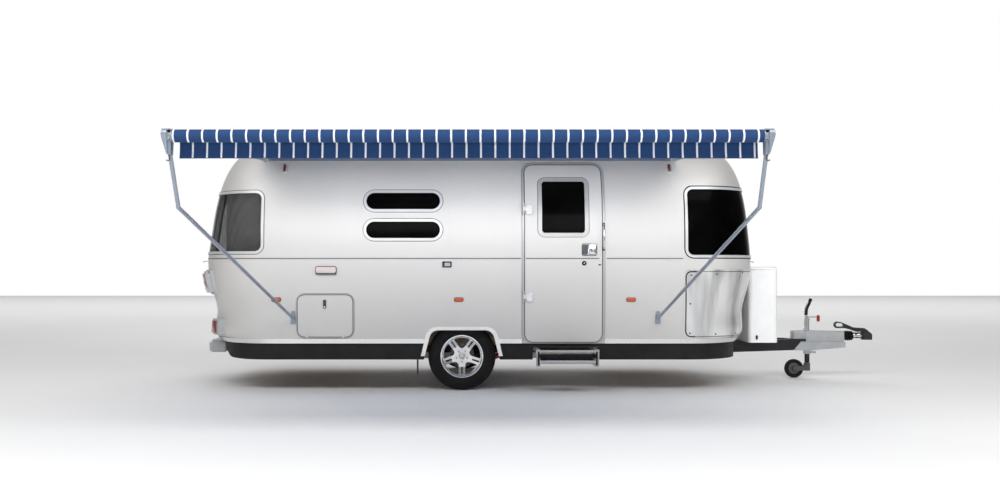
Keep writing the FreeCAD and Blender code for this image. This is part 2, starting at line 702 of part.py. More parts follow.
def damper():
    """Telescopic damper between the swing arm and the rail, near side."""
    foot = V(DAMPER_FOOT[0], -DAMPER_Y, DAMPER_FOOT[1])
    top = V(DAMPER_TOP[0], -DAMPER_Y, DAMPER_TOP[1])
    along = (top - foot).normalize()
    eyes = [rod(end - V(0, 14, 0), end + V(0, 14, 0), 20) for end in (foot, top)]
    stem = rod(foot + along * 10, foot + along * 70, 9)
    sleeve = rod(foot + along * 60, foot + along * 250, 27)
    tube = rod(foot + along * 240, top - along * 10, 12)
    bores = [rod(end - V(0, 30, 0), end + V(0, 30, 0), DAMPER_PIN_R) for end in (foot, top)]
    return fuse(eyes + [stem, sleeve, tube]).cut(bores)


def turned(corners):
    """Solid of revolution about the wheel axis from an outline of (across, radius)."""
    wire = rounded_wire(corners, lambda p: V(0, -p.x, p.y))
    return Part.Face(wire).revolve(V(0, 0, 0), V(0, 1, 0), 360)


def around(angle, u, v, radius=0):
    """Corner of an outline drawn outwards from the hub in a direction, as (x, z, radius)."""
    a = math.radians(angle)
    return (u * math.cos(a) - v * math.sin(a), u * math.sin(a) + v * math.cos(a), radius)


def spoke_window(angle):
    """Opening between two twin spokes, rounded towards the hub and at the barrel."""
    half = math.pi / SPOKES
    apex = SPOKE_HALF / math.sin(half)
    reach = 230
    u = reach * math.cos(half) + SPOKE_HALF * math.sin(half)
    v = reach * math.sin(half) - SPOKE_HALF * math.cos(half)
    outline = (around(angle, apex, 0, 34), around(angle, u, v), around(angle, u, -v))
    limit = rod((0, 0, 0), (0, -90, 0), RIM_R - 25)
    window = prism_y(outline, -90, -20).common(limit)
    corners = [
        edge for edge in window.Edges
        if edge.BoundBox.YLength > 60 and math.hypot(edge.BoundBox.XMin, edge.BoundBox.ZMin) > 170
    ]
    return window.makeFillet(10, corners)


def rim():
    """Alloy wheel: barrel, drum, and a dish pierced to leave five twin spokes."""
    r = RIM_R
    barrel = turned((
        (-92, r - 10, 0), (-92, r, 0), (-82, r, 0), (-73, r - 14, 0), (73, r - 14, 0), (82, r, 0),
        (92, r, 3), (92, r - 8, 3), (76, r - 22, 0), (-70, r - 22, 0),
    ))
    drum = turned(((-HUB_IN, 0, 0), (-HUB_IN, 120, 0), (-24, 120, 0), (-24, 60, 0), (40, 60, 0), (40, 0, 0)))
    dish = turned((
        (34, 0, 0), (66, 0, 0), (66, 28, 0), (58, 34, 0), (61, 110, 0), (80, r - 18, 0),
        (52, r - 18, 0), (32, 110, 0),
    ))
    cuts = []
    for turn in range(SPOKES):
        down = turn * 360 / SPOKES - 90
        cuts.append(spoke_window(down + 180 / SPOKES))
        slot = (around(down, 104, -7, 6), around(down, 104, 7, 6), around(down, 180, 9, 8), around(down, 180, -9, 8))
        cuts.append(prism_y(slot, -90, -20))
        x, z, _ = around(down, BOLT_CIRCLE, 0)
        cuts.append(rod((x, -46, z), (x, -80, z), 9))
    bore = rod((0, 200, 0), (0, -34, 0), STUB_R + PIN_FIT)
    return fuse([barrel, drum, dish]).cut([bore] + cuts)


def tyre():
    half, inner = TYRE_W / 2, RIM_R - 14 + FIT
    right = (
        (72.4, inner, 0), (72.4, RIM_R + 1, 0), (half - 6, RIM_R + 4, 0), (half, RIM_R + 52, 50),
        (half - 7, WHEEL_R - 18, 0), (half - 26, WHEEL_R, 0),
    )
    left = tuple((-u, v, r) for u, v, r in right[::-1])
    return turned(right + left)


def at_wheel(shape, side):
    """Move a wheel piece from the origin to the near (-1) or far (1) hub."""
    placed = shape.copy()
    placed.translate(V(0, -TRACK / 2, WHEEL_R))
    return placed if side < 0 else far(placed)


def mud_flap():
    y0, y1 = -TRACK / 2 - TYRE_W / 2, -TRACK / 2 + TYRE_W / 2
    return box(-446, -440, y0, y1, 150, FLOOR_TOP - FLOOR)


# ---- front end
def locker():
    """Gas locker on the drawbar and its lid, hinged at the back of its top."""
    x0, x1, half = LOCKER
    z0, z1, z2 = LOCKER_Z
    outline = (x0, x1, -half, half, 45)
    wall = -LOCKER_WALL
    tub = prism_z(rect(*outline), z0, z1).cut(prism_z(rect(*outline, grow=wall), z0 + LOCKER_WALL, z1 + 10))
    lid = prism_z(rect(*outline), z1 + RUN, z2)
    lid = lid.makeFillet(18, [e for e in lid.Edges if e.BoundBox.ZMin > z2 - 1])
    lid = lid.cut(prism_z(rect(*outline, grow=wall), z1, z2 - LOCKER_WALL))
    hinge = V(x0 + 6, 0, z2 + 12)
    fixed, moving = [], []
    for y in (-400, 400):
        bore = rod((hinge.x, y - 60, hinge.z), (hinge.x, y + 60, hinge.z), 4 + PIN_FIT)
        pin = rod((hinge.x, y - 45, hinge.z), (hinge.x, y + 45, hinge.z), 4)
        for a in (y - 45, y + 21):
            strap = box(x0 - 6, x0 - 1, a, a + 24, z1 - 70, hinge.z + 5)
            foot = box(x0 - 6, x0, a, a + 24, z1 - 70, z1)
            eye = rod((hinge.x, a, hinge.z), (hinge.x, a + 24, hinge.z), 8)
            web = box(x0 - 6, hinge.x, a, a + 24, hinge.z - 5, hinge.z + 5)
            fixed.append(fuse([strap, foot, eye, web]).cut(bore))
        tongue = fuse([rod((hinge.x, y - 20, hinge.z), (hinge.x, y + 20, hinge.z), 8),
                       box(hinge.x, hinge.x + 60, y - 20, y + 20, z2 - 4, z2 + 16)])
        moving += [tongue, pin]
    return fuse([tub] + fixed), fuse([lid] + moving)


def overrun_housing():
    """Cast cover of the overrun brake: a body, a flange round the nose and a block behind."""
    x0, x1 = NOSE[1] - 3, HOUSING_FRONT
    upper = prism_y((
        (x0, 398, 0), (x1, 398, 0), (x1, HOUSING_TOP - 8, 0), (x0 + 90, HOUSING_TOP, 40), (x0, HOUSING_TOP, 0),
    ), -HOUSING_HALF, HOUSING_HALF)
    long_edges = [
        edge for edge in upper.Edges
        if edge.BoundBox.XLength > 250 and edge.BoundBox.ZMin > HOUSING_TOP - 20
    ]
    upper = upper.makeFillet(16, long_edges)
    flange = prism_y((
        (NOSE[0] + 62, 306, 6), (NOSE[1] + 12, 302, 30), (x1 + 8, 338, 6), (x1 + 8, 394, 6),
        (x1 - 60, 402, 10), (NOSE[0] + 140, 402, 10),
    ), -88, 88)
    rear = prism_z(rect(NOSE[0] + 62, x0 + 20, -60, 60, 24), NOSE_TOP, HOUSING_TOP)
    rear = rear.makeFillet(12, [edge for edge in rear.Edges if edge.BoundBox.ZMin > HOUSING_TOP - 1])
    pocket = box(NOSE[0], NOSE[1] + FIT, -NOSE[2] - FIT, NOSE[2] + FIT, 0, NOSE_TOP + FIT)
    shaft = rod((NOSE[1] + 140, 0, SHAFT_Z), (x1 + 100, 0, SHAFT_Z), SHAFT_R + FIT)
    tube = rod((JOCKEY.x, 0, 200), (JOCKEY.x, 0, 600), JOCKEY_TUBE_R + FIT)
    return fuse([upper, flange, rear]).cut([pocket, shaft, tube])


def bellows():
    """Rubber gaiter between the housing and the coupling head."""
    x0, folds = HOUSING_FRONT + 8, (52, 55, 56, 55, 52)
    pitch = (BELLOWS - 8) / len(folds)
    points = [(x0, SHAFT_R + FIT, 0), (x0, 44, 0)]
    for i, crest in enumerate(folds):
        points += [(x0 + (i + 0.5) * pitch, crest, 0), (x0 + (i + 1) * pitch, 44, 0)]
    points.append((x0 + BELLOWS - 8, SHAFT_R + FIT, 0))
    wire = rounded_wire(points, lambda p: V(p.x, 0, SHAFT_Z + p.y))
    return Part.Face(wire).revolve(V(0, 0, SHAFT_Z), V(1, 0, 0), 360)


def coupling_head():
    """Ball coupling on its shaft: a sloping nose with the ball's socket open below."""
    x, foot = BALL.x, SOCKET_FOOT
    nose = prism_y((
        (x - 59, foot, 0), (x + 58, foot, 0), (x + 58, 472, 12), (x + 18, 506, 24), (x - 59, 506, 0),
    ), -46, 46).common(prism_z(rect(x - 59, x + 58, -46, 46, 38), 400, 520))
    neck = prism_y((
        (x - 158, 436, 10), (x - 40, 436, 0), (x - 40, 492, 0), (x - 158, 488, 14),
    ), -27, 27)
    shaft = rod((NOSE[1] + 200, 0, SHAFT_Z), (x - 120, 0, SHAFT_Z), SHAFT_R)
    crown = V(x, 0, foot + SOCKET_LENGTH)
    socket = rod((x, 0, 400), crown, BALL_BORE)
    return fuse([nose, neck, shaft]).cut([socket, Part.makeSphere(BALL_BORE, crown)])


def coupling_handle():
    """Lever over the head: a loop grip behind, an arm and a cover that follows the nose."""
    x = BALL.x
    arm = prism_y((
        (x - 361, 622, 34), (x - 280, 610, 60), (x - 152, 553, 30), (x - 34, 545, 24),
        (x + 6, 520, 20), (x + 16, 506 + FIT, 0), (x - 120, 506 + FIT, 20), (x - 177, 527, 20),
        (x - 245, 545, 30), (x - 361, 545, 34),
    ), -14, 14)
    hole = prism_y((
        (x - 342, 605, 20), (x - 268, 594, 14), (x - 250, 563, 14), (x - 342, 561, 20),
    ), -14, 14)
    cover = prism_y((
        (x - 140, 550, 10), (x - 34, 545, 24), (x + 6, 520, 20), (x + 16, 506 + FIT, 0), (x - 120, 506 + FIT, 12),
    ), -34, 34)
    return fuse([arm.cut(hole), cover])


def handbrake_lever():
    """Bent lever with a curved grip, standing in a bracket on the housing."""
    x, foot = NOSE[1] + 6, HOUSING_TOP + FIT
    bracket = prism_y((
        (x - 30, foot, 0), (x + 34, foot, 0), (x + 22, foot + 26, 8), (x - 18, foot + 26, 8),
    ), -50, -24)
    blade = prism_y((
        (x - 9, foot + 8, 0), (x + 9, foot + 8, 0), (x - 1, 600, 60), (x + 12, 705, 0), (x - 5, 705, 0), (x - 17, 600, 60),
    ), -43, -31)
    grip = prism_y((
        (x - 8, 690, 8), (x + 17, 690, 8), (x + 21, 762, 60), (x + 44, 812, 60), (x + 72, 848, 10),
        (x + 54, 870, 10), (x + 20, 828, 60), (x - 4, 770, 60),
    ), -49, -25)
    return fuse([bracket, blade, grip])


def jockey():
    """Jockey wheel: tube through the housing with its crank, trailing fork and wheel."""
    x, y = JOCKEY.x, JOCKEY.y
    r, half, z = JOCKEY_TUBE_R, JOCKEY_WHEEL_W / 2, JOCKEY_WHEEL_R
    tube = rod((x, y, 168), (x, y, 632), r)
    collar = prism_z(rect(x - 36, x + 36, y - 36, y + 36, 10), 262, 298)
    toggle = prism_y(((x + 30, 292, 4), (x + 106, 292, 12), (x + 92, 268, 8), (x + 30, 276, 4)), y - 9, y + 9)
    cap = rod((x, y, 632), (x, y, 652), r + 4)
    crank = fuse([rod((x, y, 645), (x, y, 680), 11), rod((x, y, 668), (x + 128, y, 668), 7)])
    knob = rod((x + 124, y, 688), (x + 124, y, 618), 15)
    stem_bore = rod((x, y, 150), (x, y, 330), 12 + PIN_FIT)
    tube = fuse([tube, collar, toggle, cap, crank, knob]).cut(stem_bore)
    axle_x = x - JOCKEY_TRAIL
    crown = prism_z(rect(x - 30, x + 26, y - half - 12, y + half + 12, 10), 78, 162)
    legs = [
        prism_y(((axle_x - 20, z - 22, 20), (x - 10, z - 22, 0), (x - 10, z + 34, 0), (axle_x - 20, z + 22, 20)),
                a, a + 5)
        for a in (y - half - 12, y + half + 7)
    ]
    stem = rod((x, y, 150), (x, y, 300), 12)
    pin = rod((axle_x, y - half - 16, z), (axle_x, y + half + 16, z), PIN_R)
    fork = fuse([crown, stem, pin] + legs)
    return tube, fork, jockey_wheel(axle_x, y)


def jockey_wheel(x, y):
    half, r = JOCKEY_WHEEL_W / 2, JOCKEY_WHEEL_R
    outline = (
        (-half - 4, PIN_R + PIN_FIT, 0), (half + 4, PIN_R + PIN_FIT, 0), (half + 4, 20, 0), (half - 14, 24, 0),
        (half - 14, r - 34, 0), (half, r - 30, 0), (half, r, 14), (-half, r, 14), (-half, r - 30, 0),
        (14 - half, r - 34, 0), (14 - half, 24, 0), (-half - 4, 20, 0),
    )
    wheel = turned(outline)
    wheel.translate(V(x, y, r))
    return wheel


# ---- steadies and step
def steady(x, way, side):
    """Corner steady folded up under the chassis, with its foot at the far end."""
    y, z = side * STEADY_Y, STEADY_Z
    end = x + way * STEADY_LENGTH
    arm = box(*sorted((x - way * 14, end)), y - 28, y + 28, z - 16, z + 14)
    hollow = box(*sorted((x + way * 40, end - way * 10)), y - 24, y + 24, z - 30, z + 10)
    foot = box(*sorted((end - way * 70, end + way * 6)), y - 44, y + 44, z + 6, z + 14)
    pin = rod((x, y - 46, z), (x, y + 46, z), PIN_R)
    return fuse([arm.cut(hollow), foot, pin])


def step_frame():
    """Channels under the floor that carry the sliding step."""
    z1 = FLOOR_TOP - FLOOR
    guides = []
    for x, way in ((STEP_X[0] - 6, 1), (STEP_X[1] + 6, -1)):
        outer = box(*sorted((x, x + way * 24)), -1170, -700, 386, z1)
        slot = box(*sorted((x + way * 5.4, x + way * 40)), -1200, -650, 391.4, 424.6)
        guides.append(outer.cut(slot))
    return guides


def entry_step():
    """Sliding step: runners, side plates, upper bar and tread."""
    x0, x1 = STEP_X
    pieces = []
    for x, way in ((x0, 1), (x1, -1)):
        pieces.append(box(*sorted((x, x + way * 30)), -1440, -960, 392, 424))
        pieces.append(box(*sorted((x + way * 28, x + way * 40)), -1440, -1210, 262, 424))
        pieces.append(box(*sorted((x, x + way * 40)), -1440, -1425, 262, 424))
    pieces.append(box(x0 + 30, x1 - 30, -1440, -1425, 398, 420))
    tread = prism_x(((-1446, 288, 8), (-1230, 288, 4), (-1230, 322, 4), (-1446, 322, 14)), x0 + 35, x1 - 35)
    return fuse(pieces + [tread])


# ---- awning
def awning_rail():
    cutter = box(*AWNING_X, -OUTSIDE, 0, RAIL_LINE_Z - 20, RAIL_LINE_Z + 20)
    return layer(24, FIT).common(cutter)


def awning_fabric():
    """Canopy from the wall rail to the roller, the wound turns and the valance."""
    x0, x1 = AWNING_X
    wall_y = -half_width(RAIL_LINE_Z) - 16
    top = ROLLER_Z + FABRIC_R
    sheet = prism_x(((wall_y, RAIL_LINE_Z + 28, 0), (ROLLER_Y, top, 0), (ROLLER_Y, top - FABRIC_T, 0),
                     (wall_y, RAIL_LINE_Z + 28 - FABRIC_T, 0)), x0, x1)
    roll = rod((x0, ROLLER_Y, ROLLER_Z), (x1, ROLLER_Y, ROLLER_Z), FABRIC_R)
    roll = roll.cut(rod((x0 - 1, ROLLER_Y, ROLLER_Z), (x1 + 1, ROLLER_Y, ROLLER_Z), ROLLER_R))
    valance = box(x0 + VALANCE_INSET[0], x1 - VALANCE_INSET[1], VALANCE_Y, VALANCE_Y + FABRIC_T, VALANCE_Z, top)
    return fuse([sheet, roll, valance])


def awning_roller():
    x0, x1 = AWNING_X[0] - 8, AWNING_X[1] + 8
    tube = rod((x0, ROLLER_Y, ROLLER_Z), (x1, ROLLER_Y, ROLLER_Z), ROLLER_R)
    tube = tube.cut(rod((x0 + 6, ROLLER_Y, ROLLER_Z), (x1 - 6, ROLLER_Y, ROLLER_Z), ROLLER_R - 4))
    discs = [rod((a, ROLLER_Y, ROLLER_Z), (a + 6, ROLLER_Y, ROLLER_Z), FABRIC_R) for a in (x0, x1 - 6)]
    return fuse([tube] + discs)


def awning_casting(x, way):
    """End casting: a tapering channel, closed outwards, with the spring housing inside it."""
    y, z = ROLLER_Y, ROLLER_Z
    side = prism_x((
        (y - 48, z + 52, 40), (y + 48, z + 52, 40), (y + 30, z - 130, 12), (y - 30, z - 130, 12),
    ), x, x + way * 70)
    front = prism_y((
        (x, z + 60, 0), (x + way * 62, z + 60, 20), (x + way * 66, z, 60), (x + way * 30, z - 130, 8),
        (x, z - 130, 0),
    ), y - 60, y + 60)
    shell = side.common(front)
    pocket = prism_x((
        (y - 60, z + 40, 26), (y + 38, z + 40, 26), (y + 22, z - 118, 8), (y - 60, z - 118, 0),
    ), x - way, x + way * 26)
    spring = fuse([
        rod((x, y, z), (x + way * 40, y, z), 30),
        box(*sorted((x + way * 4, x + way * 28)), y - 18, y + 30, z - 120, z - 20),
    ])
    return fuse([shell.cut(pocket), spring])


def awning_arms():
    """End castings, bent support arms down to feet on the wall, and the rafters."""
    found = []
    foot_y = -half_width(ARM_FOOT_Z) - 20
    for x, way, foot_x in ((AWNING_X[0] - 8, -1, REAR_END + 966), (AWNING_X[1] + 8, 1, FRONT_END - 1047)):
        tip = V(x + way * 14, ROLLER_Y, ROLLER_Z - 118)
        foot, knee = V(foot_x, foot_y, ARM_FOOT_Z), V(x + way * (22 if way < 0 else 32), *KNEE)
        high = V(x + way * 16, -half_width(RAFTER_Z) - 26, RAFTER_Z)
        arm = [rod(foot, knee, TUBE_R), Part.makeSphere(TUBE_R + 1, knee), rod(knee, tip, TUBE_R)]
        plate = prism_y((
            (foot_x - 28, ARM_FOOT_Z - 60, 12), (foot_x + 28, ARM_FOOT_Z - 60, 12),
            (foot_x + 18, ARM_FOOT_Z + 70, 12), (foot_x - 18, ARM_FOOT_Z + 70, 12),
        ), -OUTSIDE, -1000).common(layer(10, FIT))
        z0, z1 = ARM_FOOT_Z - 20, ARM_FOOT_Z + 20
        lug = box(foot_x - 18, foot_x + 18, foot_y - 18, -1200, z0, z1).cut(body(FIT))
        base = box(high.x - 12, high.x + 12, high.y - 18, -1000, RAFTER_Z - 16, RAFTER_Z + 16).cut(body(FIT))
        rafter = rod(high, V(high.x, ROLLER_Y + 20, ROLLER_Z + 10), 11)
        found.append(fuse([awning_casting(x, way)] + arm + [plate, lug, base, rafter]))
    return found


# ---- saving
def save(name, shapes):
    """Write one node, moved so that the tow ball's centre is the origin."""
    shapes = shapes if isinstance(shapes, list) else [shapes]
    solids = [solid for shape in shapes for solid in shape.Solids]
    node = Part.makeCompound(solids) if len(solids) > 1 else solids[0]
    node = node.copy()
    node.translate(BALL * -1)
    node.exportStep(f"parts/{name}.step")


def main():
    os.makedirs("parts", exist_ok=True)
    pieces = dict(body_panels())
    frame, fixed_hinges, door, door_surround, door_pane, latch = entrance()
    hatch_frame, hatch = service_hatch()
    vent_frame, vent_lid = roof_vent()
    tub, lid = locker()
    tube, fork, wheel = jockey()
    pieces.update({
        "floor_panel": floor_panel(),
        "window_frames": window_frames(),
        "window_panes": window_panes(),
        "curtains": curtains(),
        "door_frame": fuse([frame] + fixed_hinges),
        "entrance_door": door,
        "door_window": [door_surround],
        "door_pane": door_pane,
        "door_latch": latch,
        "hatch_frame": hatch_frame,
        "service_hatch": hatch,
        "hatch_latch": hatch_latch(),
        "grab_handle": grab_handle(),
        "body_trims": body_trims(),
        "side_skirts": side_skirts(),
        "rear_bumper": rear_bumper(),
        "stone_guards": stone_guards(),
        "side_lamps": lamps(),
        "wall_fittings": wall_fittings(),
        "tail_lamps": tail_lamps(),
        "roof_vent": vent_frame,
        "vent_lid": vent_lid,
        "chassis_rails": chassis_rails(),
        "a_frame": a_frame(),
        "belly_pan": belly_pan(),
        "axle_beam": axle_beam(),
        "swing_arms": both(swing_arm()),
        "dampers": both(damper()),
        "mud_flaps": both(mud_flap()),
        "gas_locker": tub,
        "locker_lid": lid,
        "overrun_housing": overrun_housing(),
        "bellows": bellows(),
        "coupling_head": coupling_head(),
        "coupling_handle": coupling_handle(),
        "handbrake_lever": handbrake_lever(),
        "jockey_tube": tube,
        "jockey_fork": fork,
        "jockey_wheel": wheel,
        "step_frame": step_frame(),
        "entry_step": entry_step(),
        "awning_rail": awning_rail(),
        "awning_fabric": awning_fabric(),
        "awning_roller": awning_roller(),
        "awning_arms": awning_arms(),
    })
    wheel_rim, wheel_tyre = rim(), tyre()
    for name, side in (("near", -1), ("far", 1)):
        pieces[f"rim_{name}"] = at_wheel(wheel_rim, side)
        pieces[f"tyre_{name}"] = at_wheel(wheel_tyre, side)
    for name, x, way, side in STEADIES:
        pieces[name] = steady(x, way, side)
    for name, shapes in pieces.items():
        save(name, shapes)


main()
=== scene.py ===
"""Finishes and fine pieces of a touring caravan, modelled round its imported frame."""
import math
from contextlib import contextmanager

import bmesh
import bpy
import numpy as np
from mathutils import Matrix, Vector
from mathutils.bvhtree import BVHTree


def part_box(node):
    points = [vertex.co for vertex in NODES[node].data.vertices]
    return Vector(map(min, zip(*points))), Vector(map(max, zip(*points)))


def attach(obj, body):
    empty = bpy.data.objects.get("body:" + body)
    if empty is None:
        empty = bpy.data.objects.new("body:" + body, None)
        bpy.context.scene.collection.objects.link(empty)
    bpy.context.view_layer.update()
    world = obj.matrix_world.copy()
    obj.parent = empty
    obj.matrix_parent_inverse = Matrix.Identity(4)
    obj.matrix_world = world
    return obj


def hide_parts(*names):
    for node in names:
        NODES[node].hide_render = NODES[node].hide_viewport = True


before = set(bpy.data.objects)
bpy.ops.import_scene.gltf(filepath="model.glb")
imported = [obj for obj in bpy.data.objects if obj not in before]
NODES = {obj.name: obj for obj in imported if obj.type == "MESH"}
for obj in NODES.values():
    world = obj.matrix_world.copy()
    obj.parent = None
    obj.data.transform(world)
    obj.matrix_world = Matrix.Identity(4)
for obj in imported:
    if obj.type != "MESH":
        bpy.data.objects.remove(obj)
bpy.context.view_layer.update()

bl_info = {
    "name": "Touring Caravan Finish",
    "version": (1, 0, 0),
    "blender": (4, 5, 0),
    "location": "View3D > Sidebar > Caravan",
    "description": "Adds the finishes and fine pieces of a touring caravan",
    "category": "Object",
}

CHASSIS = "chassis"
NEAR, FAR = -1, 1
SIDES = ((NEAR, "near"), (FAR, "far"))
UP = Vector((0, 0, 1))
SHARP = 35                  # degrees between faces, from which an edge stays crisp

TYRE_LOW, TYRE_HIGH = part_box("tyre_near")
AXLE_X = (TYRE_LOW.x + TYRE_HIGH.x) / 2
WHEEL_R = (TYRE_HIGH.x - TYRE_LOW.x) / 2
WHEEL_Y = (TYRE_LOW.y + TYRE_HIGH.y) / 2
TYRE_W = TYRE_HIGH.y - TYRE_LOW.y
GROUND_Z = (TYRE_LOW.z + TYRE_HIGH.z) / 2 - WHEEL_R


def at(x, y, z):
    """Point from the axle line, the centreline and the ground, in the frame's metres."""
    return Vector((AXLE_X + x, y, GROUND_Z + z))


def reach(name, axis):
    """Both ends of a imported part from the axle, the centreline or the ground, in whole mm."""
    start = at(0, 0, 0)
    return [round(getattr(corner - start, axis), 3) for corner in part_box(name)]


# ---- settings
class CaravanSizes(bpy.types.PropertyGroup):
    """Sizes of the fine pieces."""

    rivet_radius: bpy.props.FloatProperty(
        name="Rivet radius", description="Radius of the skin's rivet heads",
        default=0.0038, min=0.001, unit="LENGTH")
    rivet_pitch: bpy.props.FloatProperty(
        name="Rivet pitch", description="Spacing of the rivets along a seam",
        default=0.042, min=0.01, unit="LENGTH")
    stripe_pitch: bpy.props.FloatProperty(
        name="Stripe pitch", description="Spacing of the pale stripes on the awning",
        default=0.1, min=0.02, unit="LENGTH")
    stripe_width: bpy.props.FloatProperty(
        name="Stripe width", description="Width of each pale stripe",
        default=0.013, min=0.002, unit="LENGTH")
    canopy_sag: bpy.props.FloatProperty(
        name="Canopy sag", description="How far the canopy hangs below a straight line",
        default=0.03, min=0.0, unit="LENGTH")
    pleat_pitch: bpy.props.FloatProperty(
        name="Pleat pitch", description="Spacing of the curtains' pleats",
        default=0.085, min=0.02, unit="LENGTH")
    tread_depth: bpy.props.FloatProperty(
        name="Tread depth", description="Depth of the road tyres' tread",
        default=0.007, min=0.001, unit="LENGTH")


class CaravanColours(bpy.types.PropertyGroup):
    """Colours of the main finishes, in linear light."""

    skin: bpy.props.FloatVectorProperty(
        name="Skin", description="Clear-coated aluminium", subtype="COLOR",
        default=(0.66, 0.65, 0.635))
    cloth: bpy.props.FloatVectorProperty(
        name="Awning cloth", description="Ground colour of the striped cloth", subtype="COLOR",
        default=(0.022, 0.062, 0.18))
    stripe: bpy.props.FloatVectorProperty(
        name="Stripe", description="Pale stripe on the cloth", subtype="COLOR",
        default=(0.86, 0.88, 0.92))
    chassis: bpy.props.FloatVectorProperty(
        name="Chassis paint", description="Satin black chassis paint", subtype="COLOR",
        default=(0.026, 0.026, 0.028))
    curtain: bpy.props.FloatVectorProperty(
        name="Curtain", description="Grey curtain cloth", subtype="COLOR",
        default=(0.75, 0.75, 0.74))


def sizes():
    return bpy.context.scene.caravan_sizes


def colours():
    return bpy.context.scene.caravan_colours


# ---- modelling helpers
def deselect():
    if bpy.context.object and bpy.context.object.mode != "OBJECT":
        bpy.ops.object.mode_set(mode="OBJECT")
    bpy.ops.object.select_all(action="DESELECT")


def activate(obj):
    deselect()
    obj.select_set(True)
    bpy.context.view_layer.objects.active = obj


def named(name):
    obj = bpy.context.object
    obj.name = name
    obj.data.name = name
    return obj


def added(name, data):
    """New object of the data, linked to the scene."""
    obj = bpy.data.objects.new(name, data)
    bpy.context.scene.collection.objects.link(obj)
    return obj


@contextmanager
def editing(obj):
    """Edit mode on one piece, with all of it selected."""
    activate(obj)
    bpy.ops.object.mode_set(mode="EDIT")
    bpy.ops.mesh.select_all(action="SELECT")
    yield
    bpy.ops.object.mode_set(mode="OBJECT")


def settle(obj):
    """Apply live modifiers and the object's place, so that its mesh holds it all."""
    activate(obj)
    for modifier in list(obj.modifiers):
        bpy.ops.object.modifier_apply(modifier=modifier.name)
    bpy.ops.object.transform_apply(location=True, rotation=True, scale=True)
    return obj


def tidy_mesh(obj, within=1e-5):
    """Merge doubled points and turn every face outwards."""
    with editing(obj):
        bpy.ops.mesh.remove_doubles(threshold=within)
        bpy.ops.mesh.normals_make_consistent(inside=False)
    return obj


def soften(obj, width, segments):
    """Round the crisp edges."""
    bevel = obj.modifiers.new("Edges", "BEVEL")
    bevel.width, bevel.segments = width, segments
    bevel.limit_method, bevel.angle_limit = "ANGLE", math.radians(SHARP)
    return settle(obj)


def smooth(obj, angle=SHARP):
    activate(obj)
    bpy.ops.object.shade_smooth_by_angle(angle=math.radians(angle))
    return obj


def block(name, low, high, edge=0.0):
    """Block between two corners, its edges rounded."""
    deselect()
    low, high = Vector(low), Vector(high)
    bpy.ops.mesh.primitive_cube_add(size=1, location=(low + high) / 2)
    obj = named(name)
    obj.scale = high - low
    settle(obj)
    if edge:
        soften(obj, edge, 3)
    return smooth(obj)


def outline_of(name, points, fill):
    """Closed outline through the points, drawn from a circle with as many corners."""
    deselect()
    bpy.ops.mesh.primitive_circle_add(vertices=len(points), radius=1, fill_type=fill)
    obj = named(name)
    for vertex, point in zip(obj.data.vertices, points):
        vertex.co = point
    obj.data.update()
    return obj


def slab(name, points, depth, edge=0.0):
    """Face through the points, extruded by the depth vector."""
    obj = outline_of(name, points, "NGON")
    with editing(obj):
        bpy.ops.mesh.extrude_region_move(TRANSFORM_OT_translate={"value": Vector(depth)})
    tidy_mesh(obj)
    if edge:
        soften(obj, edge, 2)
    return smooth(obj)


def lathe(name, outline, centre, axis, steps=64, up=UP):
    """Closed outline of (along, radius) points spun about an axis through the centre."""
    axis = Vector(axis).normalized()
    points = [Vector(centre) + axis * along + up * radius for along, radius in outline]
    obj = outline_of(name, points, "NOTHING")
    with editing(obj):
        bpy.ops.mesh.spin(steps=steps, angle=math.tau, center=centre, axis=axis,
                          use_auto_merge=True)
    return smooth(tidy_mesh(obj, 2e-6))


def smooth_line(name, points, closed=False, parts=8):
    """Curve that runs smoothly by way of the points."""
    data = bpy.data.curves.new(name, "CURVE")
    data.dimensions = "3D"
    spline = data.splines.new("NURBS")
    spline.points.add(len(points) - 1)
    for point, spot in zip(spline.points, points):
        point.co = (*spot, 1)
    spline.order_u = 3
    spline.use_endpoint_u = not closed
    spline.use_cyclic_u = closed
    data.resolution_u = parts
    return data


def pipe(name, points, radius, roundness=6, closed=False):
    """Round bar along a smooth line by way of the points."""
    deselect()
    data = smooth_line(name, points, closed)
    data.bevel_depth = radius
    data.bevel_resolution = roundness
    data.use_fill_caps = True
    activate(added(name, data))
    bpy.ops.object.convert(target="MESH")
    return smooth(bpy.context.object, 60)


def join(name, pieces):
    deselect()
    for piece in pieces:
        piece.select_set(True)
    bpy.context.view_layer.objects.active = pieces[0]
    bpy.ops.object.join()
    return named(name)


def copies(name, model, stances):
    """One mesh that holds the model at each of the stances, given as matrices."""
    source = np.array([v.co for v in model.data.vertices])
    faces = [tuple(p.vertices) for p in model.data.polygons]
    points, polygons = [], []
    for i, stance in enumerate(stances):
        turn = np.array(stance)
        points.append(source @ turn[:3, :3].T + turn[:3, 3])
        polygons += [tuple(v + i * len(source) for v in face) for face in faces]
    mesh = bpy.data.meshes.new(name)
    mesh.from_pydata(np.concatenate(points).tolist(), [], polygons)
    for polygon in mesh.polygons:
        polygon.use_smooth = True
    bpy.data.objects.remove(model)
    return smooth(added(name, mesh), 40)


def place(obj, body, finish, replaces=()):
    """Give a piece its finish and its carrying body."""
    obj.data.materials.clear()
    obj.data.materials.append(FINISHES[finish])
    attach(obj, body)
    if replaces:
        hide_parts(*replaces)
    return obj


# ---- the body's surface
SKIN_NODES = ("near_wall", "far_wall", "roof_panel", "front_cap", "rear_cap",
              "entrance_door", "service_hatch", "door_frame", "hatch_frame")
# how far out the body is looked at from: the sides, the ends and above
SIGHT_SIDE, SIGHT_END, SIGHT_OVER = 3, 6, 4
OVER_Z = 1.3                # height of the line that the roof is looked at round
SIDE_LEAST_Y = 0.5          # a hit nearer the centreline lies on the other wall


